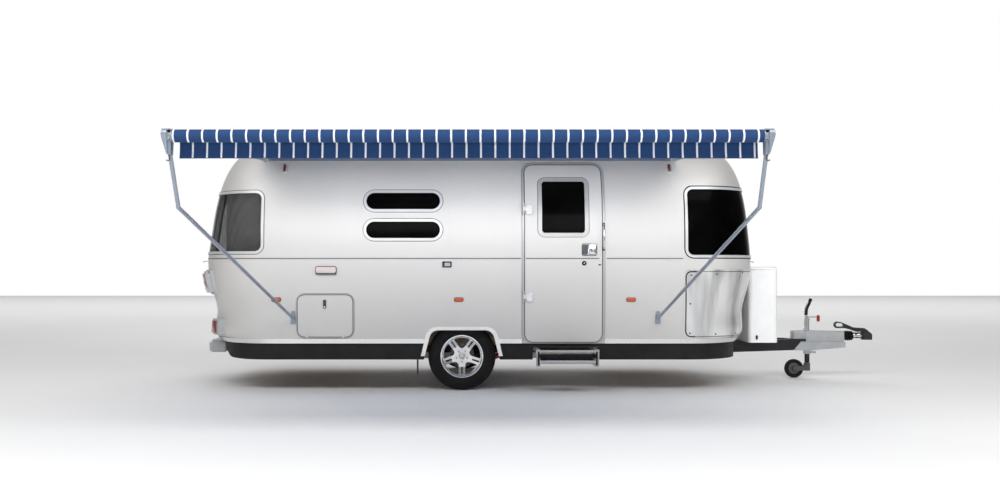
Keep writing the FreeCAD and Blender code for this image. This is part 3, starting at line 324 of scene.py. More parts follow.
def surface_of(*names):
    """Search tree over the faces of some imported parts, at rest."""
    points, faces = [], []
    for name in names:
        mesh = NODES[name].data
        base = len(points)
        points += [v.co.copy() for v in mesh.vertices]
        faces += [[v + base for v in p.vertices] for p in mesh.polygons]
    return BVHTree.FromPolygons(points, faces)


SKIN = surface_of(*SKIN_NODES)
DOOR_TREE = surface_of("entrance_door")
OPENING_FRAMES = surface_of("door_frame", "hatch_frame")
TAIL_TREE = surface_of("tail_lamps")
GUARD_TREE = surface_of("stone_guards")
MIDDLE_X = (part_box("rear_cap")[0].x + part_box("front_cap")[1].x) / 2


def look(tree, start, way):
    """Point and outward normal where a line first meets a surface, or two Nones."""
    return tree.ray_cast(start, way)[:2]


def met(hits):
    """The hits that found a surface."""
    return [hit for hit in hits if hit[0] is not None]


def on_side(x, z, side=NEAR, tree=SKIN):
    """Hit on a side of the body, x from the axle, z from the ground."""
    return look(tree, at(x, side * SIGHT_SIDE, z), Vector((0, -side, 0)))


def on_end(y, z, end, tree=SKIN):
    """Hit on an end of the body; end is -1 at the rear."""
    return look(tree, Vector((MIDDLE_X + end * SIGHT_END, y, GROUND_Z + z)),
                Vector((-end, 0, 0)))


def on_door(x, z):
    return on_side(x, z, NEAR, DOOR_TREE)


def around(angle, z, x):
    """Hit on the skin, looking in from a bearing round an upright line at x."""
    way = Vector((math.cos(angle), math.sin(angle), 0))
    return look(SKIN, at(x, 0, z) + way * SIGHT_END, -way)


def over(x, angle):
    """Hit on the skin, looking in square to the body's length, 0 being straight down."""
    way = Vector((0, math.sin(angle), math.cos(angle)))
    return look(SKIN, at(x, 0, OVER_Z) + way * SIGHT_OVER, -way)


def facing_side(hit, side):
    """Keep a hit only if it lies on the wall it was meant for."""
    return hit if hit[0] is not None and hit[0].y * side > SIDE_LEAST_Y else (None, None)


def aimed(point, normal):
    """Matrix that stands a piece modelled along +Z on a point, facing the normal's way."""
    return Matrix.Translation(point) @ normal.to_track_quat("Z", "Y").to_matrix().to_4x4()


# ---- materials
RIM_SHADE_Y = 1.07           # wheel parts nearer the centreline are near black, as painted shade behind the spokes
REAR_TINT = 0.4             # share of light that the rear panes stop
REAR_PANES_X = -1.9         # panes behind this line are lightly tinted
THREAD = 0.0016             # pitch of the awning cloth's weave
EVEN = (1, 1, 1)


def paint(name, base, metallic=0.0, roughness=0.4, coat=0.0, coat_rough=0.05, sheen=0.0,
          specular=0.5):
    """New material, its node tree, its shader and object-space coordinates."""
    material = bpy.data.materials.new(name)
    material.use_nodes = True
    tree = material.node_tree
    shader = tree.nodes["Principled BSDF"]
    for socket, value in (("Base Color", (*base, 1)), ("Metallic", metallic),
                          ("Roughness", roughness), ("Coat Weight", coat),
                          ("Coat Roughness", coat_rough), ("Sheen Weight", sheen),
                          ("Specular IOR Level", specular)):
        shader.inputs[socket].default_value = value
    coords = tree.nodes.new("ShaderNodeTexCoord")
    return material, tree, shader, coords.outputs["Object"]


def scaled(base, share):
    return tuple(c * share for c in base)


def noise(tree, source, scale, detail=3.0, rough=0.55, stretch=None, distortion=0.0):
    """Noise in object space, its pattern drawn out along an axis by a small stretch."""
    if stretch:
        mapping = tree.nodes.new("ShaderNodeMapping")
        mapping.inputs["Scale"].default_value = stretch
        tree.links.new(source, mapping.inputs["Vector"])
        source = mapping.outputs["Vector"]
    node = tree.nodes.new("ShaderNodeTexNoise")
    for socket, value in (("Scale", scale), ("Detail", detail), ("Roughness", rough),
                          ("Distortion", distortion)):
        node.inputs[socket].default_value = value
    tree.links.new(source, node.inputs["Vector"])
    return node.outputs["Fac"]


def ramp(tree, source, *stops):
    """Colour or value ramp; each stop is (position, colour or grey)."""
    node = tree.nodes.new("ShaderNodeValToRGB")
    elements = node.color_ramp.elements
    while len(elements) < len(stops):
        elements.new(0.5)
    for element, (position, colour) in zip(elements, stops):
        element.position = position
        grey = (colour,) * 3 if isinstance(colour, (int, float)) else colour
        element.color = (*grey, 1)
    tree.links.new(source, node.inputs["Fac"])
    return node.outputs["Color"]


def feed(tree, socket, value):
    """Set a socket from a number or a colour, or link another socket to it."""
    if isinstance(value, (int, float)):
        socket.default_value = value
    elif isinstance(value, tuple):
        socket.default_value = (*value, 1)
    else:
        tree.links.new(value, socket)


def mix(tree, factor, first, second, blend="MIX"):
    """Mix of two colours; each value is a number, a colour or a socket."""
    node = tree.nodes.new("ShaderNodeMix")
    node.data_type, node.blend_type = "RGBA", blend
    for index, value in ((0, factor), (6, first), (7, second)):
        feed(tree, node.inputs[index], value)
    return node.outputs[2]


def maths(tree, operation, first, second=0.0, third=0.0):
    node = tree.nodes.new("ShaderNodeMath")
    node.operation = operation
    for socket, value in zip(node.inputs, (first, second, third)):
        feed(tree, socket, value)
    return node.outputs[0]


def axes(tree, source):
    node = tree.nodes.new("ShaderNodeSeparateXYZ")
    tree.links.new(source, node.inputs[0])
    return node.outputs


def tint(tree, shader, colour):
    tree.links.new(colour, shader.inputs["Base Color"])


def bump(tree, shader, height, distance, under=None):
    """Bump of the given depth in metres, over another one if there is one."""
    node = tree.nodes.new("ShaderNodeBump")
    node.inputs["Strength"].default_value = 1.0
    node.inputs["Distance"].default_value = distance
    tree.links.new(height, node.inputs["Height"])
    if under is not None:
        tree.links.new(under, node.inputs["Normal"])
    tree.links.new(node.outputs["Normal"], shader.inputs["Normal"])
    return node.outputs["Normal"]


def roughen(tree, shader, source, low, high):
    """Roughness that wanders between two values with a noise."""
    node = tree.nodes.new("ShaderNodeMapRange")
    for socket, value in (("From Min", 0.3), ("From Max", 0.7), ("To Min", low),
                          ("To Max", high)):
        node.inputs[socket].default_value = value
    tree.links.new(source, node.inputs["Value"])
    tree.links.new(node.outputs["Result"], shader.inputs["Roughness"])


def moulded(name, base, roughness=0.42, grain=900, depth=0.00008, wear=0.12, coat=0.0,
            metallic=0.0, specular=0.5, sheen=0.0):
    """Plastic, rubber or paint with a fine moulded grain and slight mottling."""
    material, tree, shader, source = paint(name, base, metallic, roughness, coat,
                                           specular=specular, sheen=sheen)
    fine = noise(tree, source, grain, 2)
    broad = noise(tree, source, 7, 4)
    light = tuple(min(1, c * (1 + wear) + 0.004) for c in base)
    tint(tree, shader, ramp(tree, broad, (0.3, scaled(base, 1 - wear)), (0.7, light)))
    roughen(tree, shader, noise(tree, source, 24, 4), max(0.03, roughness - 0.07),
            roughness + 0.09)
    bump(tree, shader, fine, depth)
    return material


def brushed(name, base, roughness=0.3, stretch=(0.02, 1, 1), grain=700, depth=0.00003,
            coat=0.0, metallic=1.0):
    """Metal with a drawn grain along one axis."""
    material, tree, shader, source = paint(name, base, metallic, roughness, coat)
    lines = noise(tree, source, grain, 3, 0.6, stretch)
    broad = noise(tree, source, 5, 4)
    tint(tree, shader, mix(tree, 0.5, ramp(tree, lines, (0.3, scaled(base, 0.9)), (0.7, base)),
                           ramp(tree, broad, (0.3, scaled(base, 0.93)), (0.7, base))))
    roughen(tree, shader, lines, max(0.04, roughness - 0.08), roughness + 0.08)
    bump(tree, shader, lines, depth)
    return material


def skin_aluminium(name, flow):
    """Clear-coated sheet: soft sheen, faint rolling grain, slow oil-canning between frames."""
    base = tuple(colours().skin)
    material, tree, shader, source = paint(name, base, 0.28, 0.54, 0.12, 0.3)
    grain = noise(tree, source, 420, 3, 0.6, flow)
    cloud = noise(tree, source, 1.7, 5, 0.6)
    dark = scaled(base, 0.955)
    tint(tree, shader, mix(tree, 0.35, ramp(tree, cloud, (0.3, dark), (0.72, base)),
                           ramp(tree, grain, (0.35, dark), (0.65, base))))
    roughen(tree, shader, cloud, 0.46, 0.58)
    wave = bump(tree, shader, noise(tree, source, 2.6, 2, 0.4), 0.0035)
    bump(tree, shader, grain, 0.00002, wave)
    return material


def guard_sheet(name):
    """Bright sheet with broad upright streaks of painted reflection in its tone, and streaks in its
    polish.
    """
    material, tree, shader, source = paint(name, (0.7, 0.7, 0.7), 0.55, 0.3, 0.2, 0.2)
    polish_and_reflection_streaks = noise(tree, source, 5.5, 2, 0.5, (1, 1, 0.12), 0.4)
    grain = noise(tree, source, 500, 3, 0.6, (1, 1, 0.03))
    # broad upright bands of painted reflection in the base colour
    broad = ramp(tree, polish_and_reflection_streaks, (0.36, (0.36, 0.36, 0.355)), (0.5, 0.62), (0.62, 0.86))
    tint(tree, shader, mix(tree, 0.25, broad, ramp(tree, grain, (0.3, 0.5), (0.7, 0.75))))
    roughen(tree, shader, polish_and_reflection_streaks, 0.24, 0.4)
    bump(tree, shader, grain, 0.00002)
    return material


def wheel_alloy(name):
    """Machined faces; the barrel and hub behind the spokes get painted shade, near black and not
    metallic.
    """
    material, tree, shader, source = paint(name, (0.78, 0.78, 0.785), 1.0, 0.2, 0.4)
    depth = maths(tree, "ABSOLUTE", axes(tree, source)["Y"])
    behind = maths(tree, "LESS_THAN", depth, RIM_SHADE_Y)
    grain = noise(tree, source, 500, 3)
    bright = ramp(tree, grain, (0.3, (0.72, 0.72, 0.73)), (0.7, (0.82, 0.82, 0.825)))
    # painted shade: everything deeper than the spokes is near black
    tint(tree, shader, mix(tree, behind, bright, (0.03, 0.03, 0.031)))
    tree.links.new(maths(tree, "SUBTRACT", 1.0, behind), shader.inputs["Metallic"])
    roughen(tree, shader, noise(tree, source, 24, 4), 0.16, 0.26)
    bump(tree, shader, grain, 0.00001)
    return material


def dark_glass(name):
    """Dark tinted glazing; the rear panes let most of the light through."""
    material, tree, shader, source = paint(name, (0.004, 0.004, 0.005), 0.0, 0.12, specular=0.02)
    rear = maths(tree, "LESS_THAN", axes(tree, source)["X"], at(REAR_PANES_X, 0, 0).x)
    tint(tree, shader, ramp(tree, noise(tree, source, 3, 3), (0.3, 0.001), (0.7, 0.003)))
    tree.links.new(maths(tree, "MULTIPLY_ADD", rear, REAR_TINT - 1, 1.0),
                   shader.inputs["Alpha"])
    bump(tree, shader, noise(tree, source, 1.3, 2), 0.0004)
    return material


def lens(name, base, pitch=0.007):
    """Moulded lamp lens with fine flutes under a smooth face, their troughs darkened with painted
    shade.
    """
    material, tree, shader, source = paint(name, base, 0.0, 0.14, 0.7, 0.03, specular=0.7)
    height = axes(tree, source)["Z"]
    flutes = maths(tree, "SINE", maths(tree, "MULTIPLY", height, math.tau / pitch))
    share = maths(tree, "MULTIPLY_ADD", flutes, 0.5, 0.5)
    # painted shade: the flutes' troughs are darker
    tint(tree, shader, ramp(tree, share, (0.1, scaled(base, 0.6)), (0.8, base)))
    bump(tree, shader, flutes, 0.0003)
    return material


def tyre_rubber(name):
    """Black rubber with a trace of road dust."""
    material, tree, shader, source = paint(name, (0.01, 0.01, 0.01), 0.0, 0.62, specular=0.2)
    dust = noise(tree, source, 9, 5)
    tint(tree, shader, ramp(tree, dust, (0.35, 0.007), (0.75, (0.016, 0.0155, 0.015))))
    roughen(tree, shader, dust, 0.52, 0.78)
    bump(tree, shader, noise(tree, source, 800, 2), 0.00008)
    return material


def timber(name):
    """Plywood with an upright grain."""
    material, tree, shader, source = paint(name, (0.3, 0.18, 0.09), 0.0, 0.45, 0.2)
    grain = noise(tree, source, 14, 6, 0.6, (1, 1, 0.08), 1.2)
    tint(tree, shader, ramp(tree, grain, (0.3, (0.19, 0.11, 0.055)), (0.7, (0.38, 0.24, 0.13))))
    bump(tree, shader, grain, 0.0002)
    return material


def awning_cloth(name):
    """Coated canvas with pale stripes, woven along its UV map, which is in metres."""
    ground, pale = tuple(colours().cloth), tuple(colours().stripe)
    material, tree, shader, source = paint(name, ground, 0.0, 0.78, sheen=0.04, specular=0.2)
    uv = tree.nodes.new("ShaderNodeUVMap")
    uv.uv_map = "UVMap"
    parts = axes(tree, uv.outputs["UV"])
    phase = maths(tree, "PINGPONG", parts["X"], sizes().stripe_pitch / 2)
    band = maths(tree, "LESS_THAN", phase, sizes().stripe_width / 2)
    warp = maths(tree, "SINE", maths(tree, "MULTIPLY", parts["X"], math.tau / THREAD))
    weft = maths(tree, "SINE", maths(tree, "MULTIPLY", parts["Y"], math.tau / THREAD))
    cloudy = noise(tree, source, 5, 4)
    deep = mix(tree, cloudy, scaled(ground, 0.86), scaled(ground, 1.1))
    tint(tree, shader, mix(tree, band, deep, pale))
    bump(tree, shader, maths(tree, "MULTIPLY", warp, weft), 0.00012)
    return material


def curtain_cloth(name):
    """Plain woven cloth, darker in patches."""
    base = tuple(colours().curtain)
    material, tree, shader, source = paint(name, base, 0.0, 0.85, sheen=0.3)
    weave = noise(tree, source, 900, 2, 0.5, (1, 1, 0.3))
    tint(tree, shader, ramp(tree, noise(tree, source, 6, 4), (0.3, scaled(base, 0.8)), (0.7, base)))
    bump(tree, shader, weave, 0.0002)
    return material


FINISHES = {}


def make_finishes():
    """Every finish by name."""
    black = tuple(colours().chassis)
    FINISHES.update(
        skin=skin_aluminium("skin_aluminium", (0.03, 1, 1)),
        bright=brushed("bright_aluminium", (0.84, 0.84, 0.84), 0.24, (0.05, 0.4, 1), coat=0.3),
        window=brushed("window_frame", (0.66, 0.67, 0.68), 0.36, EVEN, 500, metallic=0.3),
        frame=brushed("opening_frame", (0.5, 0.5, 0.5), 0.4, EVEN, 500, metallic=0.4),
        step=brushed("step_alloy", (0.5, 0.5, 0.51), 0.36, (0.05, 1, 1), metallic=0.6),
        polish=guard_sheet("guard_sheet"),
        rivet=brushed("rivet_heads", (0.66, 0.67, 0.69), 0.3, EVEN, depth=0.00002),
        seam=moulded("seam_sealant", (0.16, 0.155, 0.15), 0.5, wear=0.08),
        chrome=brushed("plated_steel", (0.72, 0.72, 0.73), 0.16, EVEN, depth=0.000006),
        zinc=brushed("zinc_plate", (0.58, 0.59, 0.6), 0.38, EVEN, 300),
        cast=moulded("cast_grey", (0.46, 0.475, 0.49), 0.46, 260, 0.0004, metallic=0.45),
        alloy=wheel_alloy("machined_alloy"),
        black=moulded("black_plastic", (0.016, 0.016, 0.017), 0.42),
        gloss=moulded("gloss_black", (0.012, 0.012, 0.013), 0.16, coat=0.5),
        rubber=moulded("black_rubber", (0.008, 0.008, 0.008), 0.6, specular=0.2),
        chassis=moulded("chassis_paint", black, 0.45, 500, 0.00015, specular=0.2),
        skirt=moulded("skirt_grey", (0.011, 0.011, 0.0112), 0.45, 500, 0.0001, specular=0.25),
        belly=moulded("belly_sheet", (0.7, 0.71, 0.73), 0.5, 160, 0.0003, metallic=0.2),
        locker=moulded("locker_white", (0.9, 0.905, 0.91), 0.4, 320, 0.00012, wear=0.03,
                       coat=0.25),
        vent=moulded("vent_white", (0.74, 0.75, 0.76), 0.5, 320, 0.00012, wear=0.05),
        grey=moulded("grey_mouldings", (0.42, 0.43, 0.44), 0.45, 400, 0.0001, wear=0.06),
        damper=moulded("damper_red", (0.42, 0.02, 0.018), 0.35, coat=0.3),
        glass=dark_glass("tinted_glass"),
        amber=lens("amber_lens", (0.6, 0.085, 0.004)),
        red=lens("red_lens", (0.28, 0.012, 0.012)),
        brown=lens("clearance_lens", (0.13, 0.024, 0.014)),
        # dark grey for small dark parts, and also the painted shade of the latch pocket and of the
        # edge lines
        shade=moulded("dark_grey_and_painted_shade", (0.09, 0.09, 0.092), 0.45, metallic=0.3),
        lip=brushed("machined_lip", (0.86, 0.87, 0.88), 0.14, EVEN, 500, 0.00001, coat=0.4),
        cap=brushed("hub_cap", (0.7, 0.71, 0.72), 0.26, EVEN, 500, coat=0.3),
        clear=lens("clear_lens", (0.78, 0.69, 0.66)),
        tyre=tyre_rubber("tyre_rubber"),
        small_tyre=tyre_rubber("jockey_rubber"),
        wood=timber("cabin_lining"),
        cloth=awning_cloth("striped_canvas"),
        hem=moulded("hem_binding", tuple(colours().cloth), 0.7, sheen=0.15),
        awning=moulded("awning_castings", (0.31, 0.36, 0.43), 0.34, 500, 0.00006, wear=0.06,
                       coat=0.25, metallic=0.35),
        curtain=curtain_cloth("curtain_cloth"),
        flap=moulded("mud_flap_rubber", (0.028, 0.02, 0.019), 0.6),
        knob=moulded("red_knob", (0.36, 0.015, 0.006), 0.4),
    )


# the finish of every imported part
NODE_FINISH = {
    "skin": ("near_wall", "far_wall", "roof_panel", "front_cap", "rear_cap", "entrance_door",
             "service_hatch"),
    "bright": ("body_trims",),
    "window": ("window_frames",),
    "frame": ("door_frame", "hatch_frame", "door_window"),
    "step": ("step_frame", "entry_step"),
    "polish": ("stone_guards",),
    "glass": ("window_panes", "door_pane"),
    "wood": ("floor_panel",),
    "curtain": ("curtains",),
    "chrome": ("door_latch", "grab_handle"),
    "black": ("hatch_latch", "coupling_handle", "coupling_head", "wall_fittings"),
    "skirt": ("side_skirts",),
    "grey": ("rear_bumper", "tail_lamps"),
    "amber": ("side_lamps",),
    "vent": ("roof_vent", "vent_lid"),
    "chassis": ("chassis_rails", "a_frame", "axle_beam", "swing_arms"),
    "belly": ("belly_pan",),
    "damper": ("dampers",),
    "flap": ("mud_flaps",),
    "locker": ("gas_locker", "locker_lid"),
    "cast": ("overrun_housing",),
    "rubber": ("bellows",),
    "shade": ("jockey_fork",),
    "zinc": ("jockey_tube", "handbrake_lever", "steady_rear_near", "steady_rear_far",
             "steady_front_near", "steady_front_far"),
    "small_tyre": ("jockey_wheel",),
    "alloy": ("rim_near", "rim_far"),
    "tyre": ("tyre_near", "tyre_far"),
    "awning": ("awning_rail", "awning_roller", "awning_arms"),
    "cloth": ("awning_fabric",),
}


def finish_nodes():
    """Give every carried-over part its finish."""
    for finish, names in NODE_FINISH.items():
        for name in names:
            NODES[name].data.materials.clear()
            NODES[name].data.materials.append(FINISHES[finish])


# ---- stage
CAMERA = at(0.10, -11.25, 1.24)
LENS = 36.72
SENSOR = 36
SHIFT_X, SHIFT_Y = 0.028, 0.015
FLOOR_SIZE = 60
FLOOR_DROP = 0.001          # below the tyres' lowest points
FLOOR_WHITE = (0.92, 0.92, 0.915)
# brightness of the sky against the sine of the height above the horizon
SKY = ((0.0, 1.0), (0.3, 1.0), (0.55, 0.72), (0.95, 0.35))
# and from the front (0) to the back (1)
SKY_FRONT = ((0.25, 0.22), (0.55, 1.0))
# and from the middle to both ends
SKY_ENDS = ((0.5, 1.0), (0.85, 0.12))
# name, place, what it faces, watts, width, height, spread in degrees, shown in reflections
LAMPS = (
    ("key_lamp", (-3.5, -14, 1.5), (-0.2, 0, 1.9), 42, 9, 1.6, 180, True),
    ("side_lamp", (-9, -6, 4.5), (0.2, 0, 1.2), 30, 4, 3, 180, True),
    ("back_lamp", (1, 9, 5), (0.2, 0, 1.2), 130, 8, 3, 180, True),
    ("floor_lamp", (0, -9, 8), (0, -9, 0), 1250, 18, 6, 180, True),
    ("canopy_lamp", (0.15, -2.75, 1.97), (0.15, 0, 1.88), 37, 4.8, 0.42, 180, True),
    ("far_floor_lamp", (0, 19, 11), (0, 19, 0), 3000, 56, 20, 180, False),
    ("fill_lamp", (0.15, -10, 2.7), (0.15, -4.25, 2.02), 6, 5.6, 0.3, 26, False),
    ("tow_lamp", (4.4, -6, 1.3), (3.5, -0.4, 0.6), 6, 1.4, 0.9, 50, False),
)


def make_lamp(name, spot, aim, watts, width, height, spread, mirrored):
    """Oblong lamp at a spot, facing its aim."""
    data = bpy.data.lights.new(name, "AREA")
    data.energy, data.shape = watts, "RECTANGLE"
    data.size, data.size_y = width, height
    data.spread = math.radians(spread)
    obj = added(name, data)
    obj.location = at(*spot)
    obj.rotation_euler = (at(*aim) - at(*spot)).to_track_quat("-Z", "Y").to_euler()
    obj.visible_glossy = mirrored


def make_floor():
    """Plain pale floor under the tyres."""
    deselect()
    bpy.ops.mesh.primitive_grid_add(x_subdivisions=8, y_subdivisions=8, size=FLOOR_SIZE,
                                    location=(0, 0, GROUND_Z - FLOOR_DROP))
    floor = settle(named("floor"))
    material, tree, shader, source = paint("pale_floor", FLOOR_WHITE, 0.0, 0.9)
    tint(tree, shader, ramp(tree, noise(tree, source, 0.8, 4), (0.3, 0.91), (0.7, 0.93)))
    floor.data.materials.append(material)


def make_sky():
    """White studio sky, dimmer overhead, behind the camera and past both ends."""
    world = bpy.data.worlds.new("studio")
    bpy.context.scene.world = world
    world.use_nodes = True
    tree = world.node_tree
    sky = tree.nodes["Background"]
    way = axes(tree, tree.nodes.new("ShaderNodeTexCoord").outputs["Generated"])
    front = maths(tree, "MULTIPLY_ADD", way["Y"], 0.5, 0.5)
    aside = maths(tree, "ABSOLUTE", way["X"])
    shade = mix(tree, 1.0, ramp(tree, way["Z"], *SKY), ramp(tree, front, *SKY_FRONT), "MULTIPLY")
    shade = mix(tree, 1.0, shade, ramp(tree, aside, *SKY_ENDS), "MULTIPLY")
    tree.links.new(shade, sky.inputs["Color"])
    sky.inputs["Strength"].default_value = 1.0


def make_camera():
    """Level camera that looks square at the near side."""
    data = bpy.data.cameras.new("camera")
    data.lens, data.sensor_width = LENS, SENSOR
    data.shift_x, data.shift_y = SHIFT_X, SHIFT_Y
    camera = added("camera", data)
    camera.location = CAMERA
    camera.rotation_euler = (math.pi / 2, 0, 0)
    bpy.context.scene.camera = camera
    bpy.context.scene.view_settings.view_transform = "Standard"


# ---- the awning
ROLLER_LOW, ROLLER_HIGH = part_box("awning_roller")
CLOTH_LOW, CLOTH_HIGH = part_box("awning_fabric")
ROLLER = Vector((0, (ROLLER_LOW.y + ROLLER_HIGH.y) / 2, (ROLLER_LOW.z + ROLLER_HIGH.z) / 2))
ROLL_R = (ROLLER_HIGH.z - ROLLER_LOW.z) / 2
CLOTH_T = 0.0012
SUNK = 0.001                # of the cloth into the roller's outline
SPAN_PARTS = 26             # from the rail to the roller
TURN_PARTS = 40             # round each turn
TURNS = 1.6                 # of cloth on the roller
WOUND = 0.0018              # between one turn and the next
PUCKER, PUCKER_PITCH = 0.0025, 0.61
STRIPE_START = -1.842       # first stripe on the roll, from the axle
VALANCE_BACK = 0.072        # behind the roller's middle
VALANCE_SHORT = (0.022, 0.014)  # shorter than the canopy at its rear and front
VALANCE_BOW = 0.011
VALANCE_SHIFT = 0.004       # of its stripes against the canopy's
HEM_R = 0.0028


def grid_through(name, rows):
    """Grid of faces, drawn to rows of points."""
    deselect()
    bpy.ops.mesh.primitive_grid_add(x_subdivisions=len(rows[0]) - 1,
                                    y_subdivisions=len(rows) - 1, calc_uvs=False)
    obj = named(name)
    obj.data.vertices.foreach_set("co", [c for row in rows for point in row for c in point])
    obj.location = (0, 0, 0)
    obj.data.update()
    return obj


def cloth_grid(name, rows, across, along, thick=CLOTH_T):
    """Sheet of cloth through rows of points, with a UV map in metres and a real thickness."""
    width = len(across)
    obj = grid_through(name, rows)
    layer = obj.data.uv_layers.new(name="UVMap")
    for loop in obj.data.loops:
        row, column = divmod(loop.vertex_index, width)
        layer.data[loop.index].uv = (across[column], along[row])
    wall = obj.modifiers.new("Thickness", "SOLIDIFY")
    wall.thickness, wall.offset = thick, 0
    settle(obj)
    return smooth(obj, 60)


def travelled(points):
    """Distance along a line of points, at each point."""
    run = [0.0]
    for a, b in zip(points, points[1:]):
        run.append(run[-1] + (b - a).length)
    return run


def canopy_profile():
    """Line of the cloth from the wall rail over the roller and round it, in the y-z plane."""
    start = Vector((0, CLOTH_HIGH.y - 0.002, CLOTH_HIGH.z - 0.002))
    end = ROLLER + Vector((0, 0, ROLL_R - SUNK))
    points = [start.lerp(end, i / SPAN_PARTS) for i in range(SPAN_PARTS)]
    for i in range(int(TURN_PARTS * TURNS)):
        turn = math.tau * i / TURN_PARTS
        radius = ROLL_R - SUNK - WOUND * turn / math.tau * 2
        points.append(ROLLER + Vector((0, -math.sin(turn), math.cos(turn))) * radius)
    return points


def make_canopy():
    """Striped cloth that sags between rail and roller, with its spare turns wound up."""
    points = canopy_profile()
    along = travelled(points)
    low, width = CLOTH_LOW.x, CLOTH_HIGH.x - CLOTH_LOW.x
    columns = [low + width * i / 80 for i in range(81)]
    rows = []
    for r, point in enumerate(points):
        share = min(r / SPAN_PARTS, 1)
        row = []
        for x in columns:
            middle = math.sin(math.pi * (x - columns[0]) / (columns[-1] - columns[0]))
            sag = sizes().canopy_sag * 4 * share * (1 - share) * (0.65 + 0.35 * middle)
            pucker = PUCKER * share * (1 - share) * 4 * math.sin(math.tau * x / PUCKER_PITCH)
            row.append(Vector((x, point.y, point.z - sag + pucker)))
        rows.append(row)
    across = [x - AXLE_X - STRIPE_START for x in columns]
    canopy = cloth_grid("awning_canopy", rows, across, along)
    place(canopy, CHASSIS, "cloth", ("awning_fabric",))


def make_valance():
    """Flap under the roll: it bows a little and ripples towards its hem."""
    x0, x1 = CLOTH_LOW.x + VALANCE_SHORT[0], CLOTH_HIGH.x - VALANCE_SHORT[1]
    top, foot = ROLLER.z + ROLL_R - 0.004, CLOTH_LOW.z + 0.004
    columns = [x0 + (x1 - x0) * i / 160 for i in range(161)]
    y = ROLLER.y + VALANCE_BACK
    rows = []
    for r in range(17):
        share = r / 16
        row = []
        for x in columns:
            ripple = (0.0035 * math.sin(math.tau * x / 0.83)
                      + 0.0015 * math.sin(math.tau * x / 0.29))
            bow = VALANCE_BOW * math.sin(math.pi * share)
            row.append(Vector((x, y + bow + ripple * share, top + (foot - top) * share)))
        rows.append(row)
    along = travelled([row[0] for row in rows])
    across = [x - AXLE_X - STRIPE_START - VALANCE_SHIFT for x in columns]
    valance = cloth_grid("awning_valance", rows, across, along)
    place(valance, CHASSIS, "cloth")
    hem = pipe("valance_hem", [p + Vector((0, 0, 0.002)) for p in rows[-1][::4]], HEM_R, 3)
    place(hem, CHASSIS, "hem")


# ---- curtains in the rear corners
CURTAIN_GAP = 0.009         # between the outermost folds and the space for them
CURTAIN_BEND = 0.462        # radius of the track round each corner
CURTAIN_INNER = 0.59        # from the centreline to where the track ends
CURTAIN_T = 0.001
PLEAT_DEPTH = 0.0068
PLEAT_LEAN = 0.8            # of the folds, forwards as they rise


def curtain_track():
    """Points and outward ways along the near side's track, from its front to the rear."""
    low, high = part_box("curtains")
    half, back = high.y - CURTAIN_GAP, low.x + CURTAIN_GAP
    line = []
    for x in np.arange(high.x, back + CURTAIN_BEND, -0.008):
        line.append((Vector((x, -half, 0)), Vector((0, -1, 0))))
    for i in range(91):
        angle = math.radians(-90 - i)
        way = Vector((math.cos(angle), math.sin(angle), 0))
        hub = Vector((back + CURTAIN_BEND, -half + CURTAIN_BEND, 0))
        line.append((hub + way * CURTAIN_BEND, way))
    for y in np.arange(-half + CURTAIN_BEND + 0.006, -CURTAIN_INNER, 0.008):
        line.append((Vector((back, y, 0)), Vector((-1, 0, 0))))
    return line


def make_curtains():
    """Pleated curtains whose folds fan forwards and up from the rear."""
    low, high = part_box("curtains")
    line = curtain_track()
    run = travelled([p for p, _ in line])
    top, foot = high.z - 0.002, low.z + 0.002
    for side, where in SIDES:
        rows = []
        for r in range(31):
            z = top + (foot - top) * r / 30
            row = []
            for (point, way), s in zip(line, run):
                lean = PLEAT_LEAN * (1 - s / run[-1]) * (z - foot)
                phase = math.tau * (s + lean) / sizes().pleat_pitch
                fold = PLEAT_DEPTH * (math.sin(phase) + 0.3 * math.sin(2 * phase + 0.8))
                spot = point + way * fold
                row.append(Vector((spot.x, -side * spot.y, z)))
            rows.append(row)
        curtain = cloth_grid(f"curtain_{where}", rows, run, travelled([row[0] for row in rows]),
                             CURTAIN_T)
        place(curtain, CHASSIS, "curtain", ("curtains",) if side == NEAR else ())
        width = travelled(rows[15])[-1]


# ---- lines and rivets on the skin
FRAME_W = 0.026             # of the window frames, outside the glass
SEAL_GAP = 0.004            # from a frame to the middle of its seal
SEAL_R = 0.0035
# slot windows of both sides and the far galley window: x and z spans, corner radius, sides
SIDE_WINDOWS = (
    ("upper_slot", -0.939, -0.214, 1.7885, 1.9515, 0.08, (NEAR, FAR)),
    ("lower_slot", -0.939, -0.214, 1.5035, 1.6665, 0.08, (NEAR, FAR)),
    ("galley", 0.62, 1.56, 1.40, 1.96, 0.09, (FAR,)),
)
# corner windows: end, name, start x, z from, z to, radius and finish of the seal
CORNER_WINDOWS = ((-1, "rear", -1.97, 1.375, 1.95, 0.0035, "seam"),
                  (1, "front", 2.217, 1.338, 1.989, 0.0065, "rubber"))
CORNER_INNER, CENTRE_HALF, GLASS_R = 0.63, 0.545, 0.06

BELT_Z = 1.304              # of the lap seam, above the ground
BELT_FRONT = 2.17           # where it meets the front windows
BELT_H, BELT_T = 0.011, 0.003
DOOR_X = reach("door_frame", "x")
DOOR_SKIN_X = (0.628, 1.368)
WALLS_REAR_X = -2.0         # where the straight walls begin to turn into the rear

BELT_ROWS = 0.017           # from the belt to the rivets above and below it
END_JOINTS_X = (-1.768, -1.732, 2.022, 2.058)
END_JOINT_SWEEP = math.radians(121)
ROOF_JOINT = math.radians(47)
# upright frames behind the skin: the side, and where each frame stands, from the axle
WALL_FRAMES = ((NEAR, (-1.02, -0.13, 0.5, 1.48)), (FAR, (-1.02, -0.13, 0.5, 1.68)))
WALL_FOOT_Z, WALL_TOP_Z = 0.54, 2.26
ARCH_TOP_Z, ARCH_HALF = 0.72, 0.45


